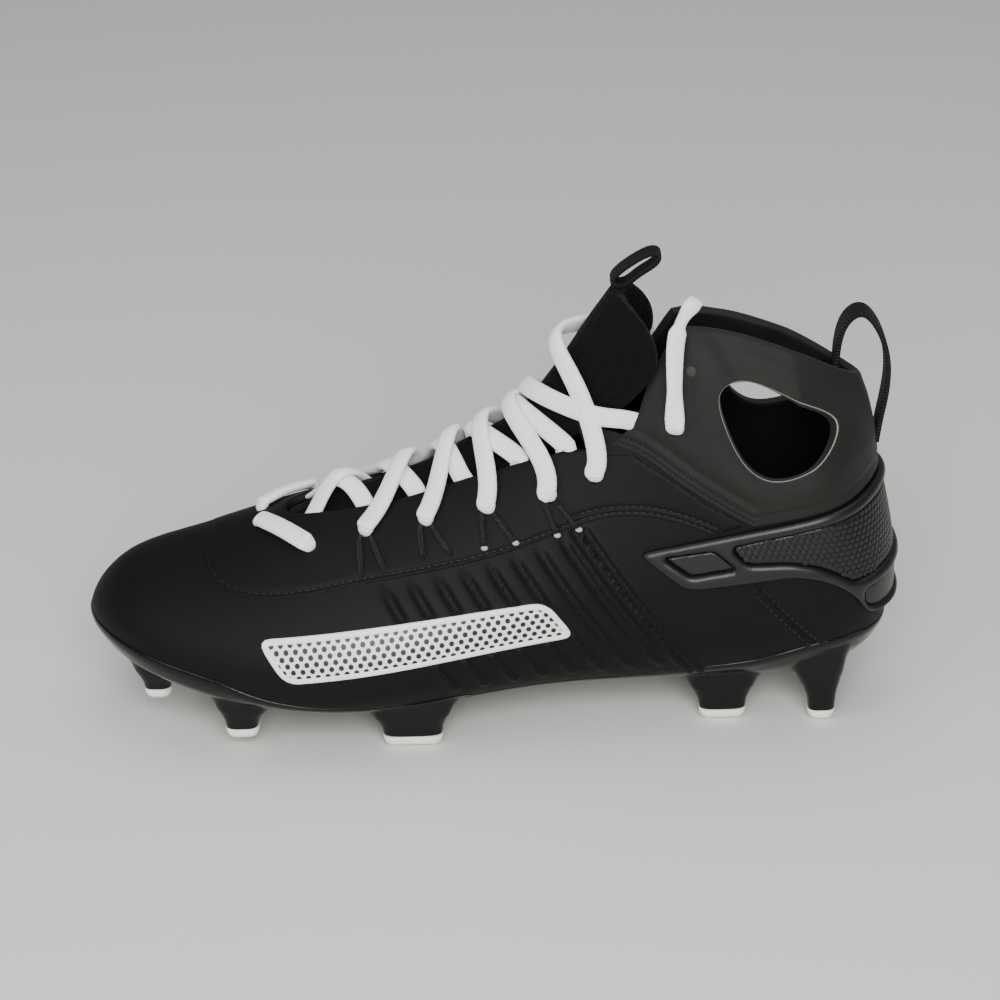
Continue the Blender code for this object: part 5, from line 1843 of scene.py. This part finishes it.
@dataclass
class Laces:
    """The white lace through its eyelets, its free end, and the thin cord loops at the eyelets."""

    last: Last
    tongue: Tongue
    width: float = 6.9
    thickness: float = 3.4
    sides: int = 20
    per_gap: int = 6
    layer: float = 0.35
    bend: float = 2.6
    lean: tuple = (0.0, 6.0, 5.0, 4.5, 0.0, 5.0)
    top_route: dict = field(default_factory=lambda: {
        Side.LATERAL: ((4.0, 0.6, 1.6), (0.0, 0.0, 4.6), (-4.0, -0.6, 1.2), (-7.0, -0.96, 1.4)),
        Side.MEDIAL: ((10.0, 0.6, 1.6), (8.0, 0.0, 1.8), (5.5, -0.5, 1.4), (2.0, -0.9, 1.6))})
    top_end: dict = field(default_factory=lambda: {
        Side.LATERAL: ((89.0, 125.0, -3.2),), Side.MEDIAL: ((96.0, 119.5, 1.0), (88.0, 118.0, -2.6))})
    end_width: float = 6.5
    end_thickness: float = 3.0
    end_proud: float = 1.4
    end_shape: tuple = ((0.0, 0.8), (0.05, 1.0), (0.12, 1.06), (0.32, 0.82), (0.6, 0.96), (0.72, 0.98),
                        (0.77, 0.62), (0.84, 0.66), (0.94, 0.96), (1.0, 0.82))
    bright_ends: int = 3
    loop_diameter: float = 1.8
    loop_anchors: tuple = ((188.5, 66.0), (180.0, 67.0), (166.5, 71.5), (156.5, 73.0), (145.0, 75.8),
                           (134.0, 78.0), (119.5, 81.0), (112.0, 83.0))

    def edge(self, station: float, side: Side, inward: float) -> tuple:
        """Finds a point at the throat's edge.

        Args:
            station: its station.
            side: which flank.
            inward: how far into the throat it moves along the surface.

        Returns:
            The point and the surface's normal.
        """
        half = np.interp(station, *np.array(sorted(THROAT_LINE)).T)
        line = np.array(CUFF_FRONT, float)
        height = np.interp(-station, -line[:, 0], line[:, 1])
        point, normal = self.last.on_top(station, self.last.crest(station) + side.value * half)
        if point[2] > height:
            point, normal = self.last.on_flank(station, height, side)
        slope = np.array((0.0, -side.value * normal[2], side.value * normal[1]))
        return point + slope / np.linalg.norm(slope) * inward, normal

    def strand(self, marks: list[tuple]) -> tuple:
        """Sweeps the lace through marks.

        Args:
            marks: point, up direction, width share and thickness share of each.

        Returns:
            Points, quads and a map.
        """
        path = smooth_line([mark[0] for mark in marks], self.per_gap)
        up = smooth_line([mark[1] for mark in marks], self.per_gap)
        at = np.linspace(0, len(marks) - 1, len(path))
        wide = np.interp(at, np.arange(len(marks)), [mark[2] for mark in marks]) * self.width
        thick = np.interp(at, np.arange(len(marks)), [mark[3] for mark in marks]) * self.thickness
        return tube(path, up, wide, thick, self.sides)

    def plunge(self, point: np.ndarray, normal: np.ndarray, toward: np.ndarray) -> list[tuple]:
        """Bends the lace out of an eyelet in a quarter round.

        Args:
            point: the eyelet's middle on the form.
            normal: the form's normal there.
            toward: the way the lace leaves.

        Returns:
            Marks from inside the eyelet to where the lace lies on the surface.
        """
        toward = toward - normal * (toward @ normal)
        toward /= np.linalg.norm(toward)
        middle = point + toward * self.bend + normal * (self.layer + self.thickness / 2 + 0.3 - self.bend)
        marks = [(point - normal * 4.0, -toward, 0.55, 0.8)]
        for turn, share in zip(np.linspace(0, math.pi / 2, 4), (0.7, 0.84, 0.95, 1.0)):
            out = normal * math.sin(turn) - toward * math.cos(turn)
            marks.append((middle + out * self.bend, out, share, 1.0))
        return marks

    def crossing(self, number: int, side: Side) -> tuple:
        """Runs one cord from its eyelet over the tongue and under the far edge.

        Args:
            number: the crossing's number from the front.
            side: the flank that the cord starts from.

        Returns:
            Points, quads and a map.
        """
        hole, near_s, crest_s, far_s = CROSSINGS[number]
        standing = crest_s < 125
        if side is Side.LATERAL:
            near_s -= self.lean[number] * 0.4
            crest_s -= self.lean[number]
        far = Side.MEDIAL if side is Side.LATERAL else Side.LATERAL
        half = self.thickness / 2
        marks = []
        raised = self.thickness * 0.8 if side is Side.LATERAL else 0.0
        if hole is not None:
            point, normal = self.last.on_flank(*LACE_HOLES[hole], side)
            edge, edge_normal = self.edge(near_s, side, 0.0)
            marks += self.plunge(point, normal, edge - point)
            marks.append((edge + edge_normal * (self.layer + half + 0.4), edge_normal, 1.0, 1.0))
        else:
            for inward, lift, share in ((-4.0, -2.6, 0.5), (2.0, -1.6, 0.8)):
                point, normal = self.edge(near_s + 3.0 - inward * 0.5, side, inward)
                marks.append((point + normal * (half * share + lift), normal, 1.0, share))
        if not standing:
            point, normal = self.tongue.at(crest_s, 0.0)
            marks.append((point + normal * (half + 1.4 + raised), normal, 1.0, 1.0))
            for inward, lift, share in ((4.2, -1.6, 0.75), (0.5, -2.9, 0.6), (-3.0, -3.6, 0.5)):
                point, normal = self.edge(far_s - (4.2 - inward) * 0.35, far, inward)
                marks.append((point + normal * (half * share + lift), normal, 1.0, share))
        else:
            for ahead, share, lift in self.top_route[side]:
                point, normal = self.tongue.at(crest_s + ahead, share * side.value)
                marks.append((point + normal * (half + lift), normal, 1.0, 1.0))
            for station, height, lift in self.top_end[side]:
                point, normal = self.last.on_flank(station, height, far)
                marks.append((point + normal * lift, normal, 0.95, 0.8))
        return self.strand(marks)

    def bar(self, side: Side) -> tuple:
        """Runs the lowest bar from the front hole to the first hole of a flank.

        Args:
            side: which flank.

        Returns:
            Points, quads and a map.
        """
        across = self.last.crest(FRONT_HOLE[0]) + side.value * FRONT_HOLE[1]
        start, start_up = self.last.on_top(FRONT_HOLE[0], across)
        end, end_up = self.last.on_flank(*LACE_HOLES[0], side)
        ahead = (end - start) / np.linalg.norm(end - start)
        half = self.thickness / 2
        marks = self.plunge(start, start_up, ahead)
        for share in (0.35, 0.5, 0.65):
            up = start_up * (1 - share) + end_up * share
            up /= np.linalg.norm(up)
            lift = self.layer + half + 0.4 + 1.2 * math.sin(math.pi * share)
            marks.append((start * (1 - share) + end * share + up * lift, up, 1.0, 1.05))
        return self.strand(marks + self.plunge(end, end_up, -ahead)[::-1])

    def free_end(self) -> bpy.types.Object:
        """Builds the free end out of the cuff's eyelet, up the cuff and over its rim.

        Returns:
            The piece.
        """
        point, normal = self.last.on_flank(*LACE_HOLES[-1], Side.LATERAL)
        bent = self.plunge(point, normal, np.array((0.0, 0.0, 1.0)))[1:]
        marks = [(mark[0] + normal * self.end_proud, mark[1]) for mark in bent]
        for station, height, proud in LACE_END:
            point, normal = self.last.on_flank(station, min(height, LACE_END_LEAVES), Side.LATERAL)
            lean = max(0.0, height - LACE_END_LEAVES)
            spot = point + normal * (self.end_proud + proud) + np.array((0.0, 0.0, lean))
            marks.append((spot, np.array((0.15, -1.0, 0.1))))
        path = smooth_line([mark[0] for mark in marks], 7)
        up = smooth_line([mark[1] for mark in marks], 7)
        run = run_along(path)
        wide = self.end_width * np.interp(run / run[-1], *np.array(self.end_shape).T)
        thick = np.full(len(path), self.end_thickness)
        points, quads, along = tube(path, up, wide, thick, self.sides)
        end = mesh_piece("lace_free_end", points, quads, [WOVEN_LACE], ["lace_end_lateral"], along=along)
        return end

    def eyelet_loops(self) -> list[bpy.types.Object]:
        """Builds the pair of thin cords that hang from each eyelet to the top of the ribs.

        Returns:
            The cords and their pale ends.
        """
        cords, ends = [], []
        radius = self.loop_diameter / 2
        bead = self.model_bead()
        for side in Side:
            for number, anchor in enumerate(self.loop_anchors):
                hole = np.array(LACE_HOLES[1 + number // 2])
                lean = 2.0 if number % 2 == 0 else -2.0
                route = []
                for share in np.linspace(0, 1, 7):
                    spot = (hole + (lean, -0.6)) * (1 - share) + np.array(anchor) * share
                    point, normal = self.last.on_flank(*spot, side)
                    lift = self.layer + radius * 0.9 + 0.7 * math.sin(math.pi * share)
                    sunk = 2.4 * max(0.0, 1 - share * 8) + 1.6 * max(0.0, share * 8 - 7)
                    route.append((point + normal * (lift - sunk), normal))
                path = smooth_line([point for point, _ in route], 4)
                up = smooth_line([normal for _, normal in route], 4)
                size = np.full(len(path), self.loop_diameter)
                cords.append(tube(path, up, size, size, 10, 2.0))
                if number > self.bright_ends:
                    point, normal = route[-1]
                    ends.append(bead.at(point + normal * 1.3, np.array((1.0, 0.0, 0.0)), normal))
        points, quads, along = joined(cords)
        made = [mesh_piece("eyelet_cord_loops", points, quads, [WAXED_CORD], [], along=along)]
        points, quads, _ = joined(ends)
        made.append(mesh_piece("eyelet_cord_ends", points, quads, [MELTED_END], []))
        return made

    def model_bead(self) -> Stamp:
        """Models one small melted cord end: a ball pressed flat.

        Returns:
            The shape.
        """
        bpy.ops.object.select_all(action="DESELECT")
        bpy.ops.mesh.primitive_uv_sphere_add(segments=10, ring_count=7, radius=self.loop_diameter * 0.55 * MM)
        bpy.ops.transform.resize(value=(1.35, 1.0, 0.8))
        bpy.ops.object.transform_apply(location=True, rotation=True, scale=True)
        return Stamp.taken()

    def build(self) -> list[bpy.types.Object]:
        """Builds the crossings, the bars, the free end and the eyelet loops.

        Returns:
            The lace, its free end, the cords and their ends.
        """
        strands = [self.bar(side) for side in Side]
        strands += [self.crossing(number, side) for number in range(len(CROSSINGS)) for side in Side]
        points, quads, along = joined(strands)
        nodes = ["lace_bar_lateral", "lace_bar_medial"]
        nodes += [f"lace_crossing_{number}" for number in range(1, len(CROSSINGS) + 1)]
        made = [mesh_piece("lace", points, quads, [WOVEN_LACE], nodes, along=along, sharp=60.0)]
        return [*made, self.free_end(), *self.eyelet_loops()]


@dataclass
class Stitching:
    """Rows of thread along the seams."""

    last: Last
    pieces: Pieces
    pitch: float = 2.6
    length: float = 1.7
    thread: float = 0.7
    cuff_proud: float = 0.5
    quarter_proud: float = 0.3
    quarter_rows: tuple = (1.6, -1.6)

    def model_stitch(self) -> Stamp:
        """Models one stitch: a short round rod with rounded ends that dip into the cloth.

        Returns:
            The shape.
        """
        bpy.ops.object.select_all(action="DESELECT")
        bpy.ops.mesh.primitive_cylinder_add(vertices=6, radius=self.thread / 2 * MM, depth=self.length * MM,
                                            rotation=(0, math.pi / 2, 0))
        bpy.ops.object.transform_apply(location=True, rotation=True, scale=True)
        stitch = bpy.context.object
        ends = edge_ends(stitch)
        tips = np.abs(ends[:, :, 0]).min(axis=1) > 0.4 * self.length * MM
        bevel_edges(stitch, tips, 0.4 * self.thread * MM, 2)
        for vertex in stitch.data.vertices:
            vertex.co.z -= 0.3 * MM * (abs(vertex.co.x) / (self.length / 2 * MM)) ** 3
        return Stamp.taken()

    def row(self, stitch: Stamp, line: np.ndarray, proud: float) -> list[tuple]:
        """Sews a row along a side-view line on both flanks.

        Args:
            stitch: the stitch.
            line: station and height along the row.
            proud: how far the cloth under it stands off the form.

        Returns:
            One copy for each stitch.
        """
        run = run_along(line)
        starts = np.arange(0.5, run[-1] - self.length, self.pitch)
        made = []
        for side in Side:
            for start in starts:
                ends = []
                for at in (start, start + self.length):
                    spot = [np.interp(at, run, line[:, i]) for i in range(2)]
                    ends.append(self.last.on_flank(*spot, side))
                (first, up), (second, _) = ends
                made.append(stitch.at((first + second) / 2 + up * (proud + 0.12), second - first, up))
        return made

    def beside(self, line: np.ndarray, apart: float) -> np.ndarray:
        """Moves a side-view line sideways.

        Args:
            line: station and height along it.
            apart: how far it moves, up where it runs to the toe.

        Returns:
            The moved line.
        """
        ahead = unit(np.gradient(line, axis=0))
        return line + np.stack([-ahead[:, 1], ahead[:, 0]], axis=1) * apart

    def build(self) -> bpy.types.Object:
        """Sews the cuff's double row, the eyestay's rows and the quarter's seam.

        Returns:
            The piece.
        """
        seam = smooth_line(CUFF_SEAM[3:], 10)[:-7]
        eyestay = self.pieces.eyestay_line
        rear = eyestay[eyestay[:, 0] < 112]
        front = eyestay[(eyestay[:, 0] > 112) & (eyestay[:, 1] < 84)][10:]
        quarter = np.linspace((50.0, 60.0), (30.0, 36.0), 20)
        rows = [(seam, apart, self.cuff_proud) for apart in Cuff.rows]
        rows += [(rear, -apart, 0.0) for apart in Eyestay.rows]
        rows += [(front, -Eyestay.rows[0], 0.0)]
        rows += [(quarter, apart, self.quarter_proud) for apart in self.quarter_rows]
        stitch = self.model_stitch()
        stitches = []
        for line, apart, proud in rows:
            stitches += self.row(stitch, self.beside(line, apart), proud)
        points, quads, _ = joined(stitches)
        return mesh_piece("seam_thread", points, quads, [BONDED_THREAD], [])


@dataclass
class VentPanel:
    """A plain slanted vent panel of white film on the outer flank."""

    last: Last
    corners: tuple = VENT_CORNERS
    corner_round: float = VENT_ROUND
    net: tuple = (300, 240)
    border: float = 2.0
    proud: float = 0.75
    depth: float = 0.8

    def build(self) -> bpy.types.Object:
        """Builds the panel with its welded border.

        Returns:
            The piece.
        """
        patch = self.last.patch(*self.net, 0.1, 0.9, 6.0, 15.0)
        outline = rounded(list(self.corners), self.corner_round)
        patch = patch.clip(-outline_distance(patch.side_view, outline))
        for level in (0.2, 0.7, self.border - 0.5, self.border):
            patch = patch.clip(-outline_distance(patch.side_view, outline) - level, both=True)
        inside = -outline_distance(patch.side_view, outline)
        start, _, _, end = (np.array(corner) for corner in self.corners)
        along_axis = (end - start) / np.linalg.norm(end - start)
        view = patch.side_view - start
        along = np.stack([view @ along_axis, view @ np.array((-along_axis[1], along_axis[0]))], axis=1)
        weld = 0.35 * ease((self.border - inside) / 0.5)
        outer = self.proud * roll(inside, 0.7) + weld - 0.3
        points, faces = patch.wall(outer, np.full(len(outer), -self.depth))
        which = np.ones(len(faces), int)
        which[:len(patch.tris)] = (inside[patch.tris].mean(axis=1) < self.border)
        return mesh_piece("vent_panel", points, faces, [VENT_FILM, FILM_BORDER], [], which,
                          np.concatenate([along, along]))


@dataclass
class Studio:
    """The floor, the lights and the camera."""

    azimuth: float = 0.9
    elevation: float = 27.64
    roll: float = -1.96
    distance: float = 1.05
    lens: float = 106.0
    aim: tuple = (0.0045, -0.002, 0.080)
    world_light: float = 0.34
    # Name, place and size in metres, power in watts.
    lights: tuple = (("key", (0.1, -1.2, 0.85), 0.9, 27.0), ("top", (0.1, 0.2, 1.5), 1.2, 8.0),
                     ("fill", (-0.9, -0.7, 0.9), 0.9, 6.0))

    def build(self) -> None:
        """Sets up the studio."""
        bpy.ops.object.select_all(action="DESELECT")
        bpy.ops.mesh.primitive_plane_add(size=8.0, location=(0, 0, 0))
        floor = bpy.context.object
        floor.name = "floor"
        paint = bpy.data.materials.new("pale_studio_floor")
        paint.use_nodes = True
        shader = paint.node_tree.nodes["Principled BSDF"]
        shader.inputs["Base Color"].default_value = linear("#d9d6d1")
        shader.inputs["Roughness"].default_value = 0.8
        floor.data.materials.append(paint)
        world = bpy.data.worlds.new("studio")
        world.use_nodes = True
        sky = world.node_tree.nodes["Background"]
        sky.inputs["Color"].default_value = linear("#dfe1e4")
        sky.inputs["Strength"].default_value = self.world_light
        bpy.context.scene.world = world
        for light in self.lights:
            self.light(*light)
        self.camera()

    def light(self, name: str, place: tuple, size: float, power: float) -> None:
        """Adds a square soft light that faces the shoe.

        Args:
            name: its name.
            place: where it hangs, in metres.
            size: its side, in metres.
            power: its power in watts.
        """
        bpy.ops.object.light_add(type="AREA", location=place)
        lamp = bpy.context.object
        lamp.name = name
        lamp.data.size = size
        lamp.data.energy = power
        lamp.rotation_euler = (Vector((0, 0, 0.06)) - Vector(place)).to_track_quat("-Z", "Y").to_euler()

    def camera(self) -> None:
        """Adds the camera at the photograph's viewing angle."""
        turn, rise = math.radians(self.azimuth), math.radians(self.elevation)
        back = Vector((math.sin(turn) * math.cos(rise), -math.cos(turn) * math.cos(rise), math.sin(rise)))
        bpy.ops.object.camera_add(location=Vector(self.aim) + back * self.distance)
        camera = bpy.context.object
        camera.rotation_mode = "QUATERNION"
        look = (-back).to_track_quat("-Z", "Y")
        camera.rotation_quaternion = look @ Matrix.Rotation(math.radians(self.roll), 4, "Z").to_quaternion()
        camera.data.lens = self.lens
        camera.data.clip_start = 0.05
        bpy.context.scene.camera = camera


def dress_insole() -> None:
    """Gives the part's own insole its cloth."""
    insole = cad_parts["insole"]
    insole.data.materials.clear()
    insole.data.materials.append(DRESSER.material(INSOLE_CLOTH))
    LOG.info("%s: %d faces", insole.name, len(insole.data.polygons))


def main() -> None:
    """Builds every piece in order."""
    logging.basicConfig(level=logging.INFO, format="%(message)s")
    Studio().build()
    last = Last()
    pieces = Pieces(last)
    Upper(last, pieces).build()
    Eyestay(last, pieces).build()
    Cuff(last, pieces).build()
    HeelCounter(last).build()
    Plate(last, pieces).build()
    tongue = Tongue(last)
    tongue.build()
    Loops(last).build()
    Laces(last, tongue).build()
    Stitching(last, pieces).build()
    VentPanel(last).build()
    dress_insole()


if __name__ == "__main__":
    main()
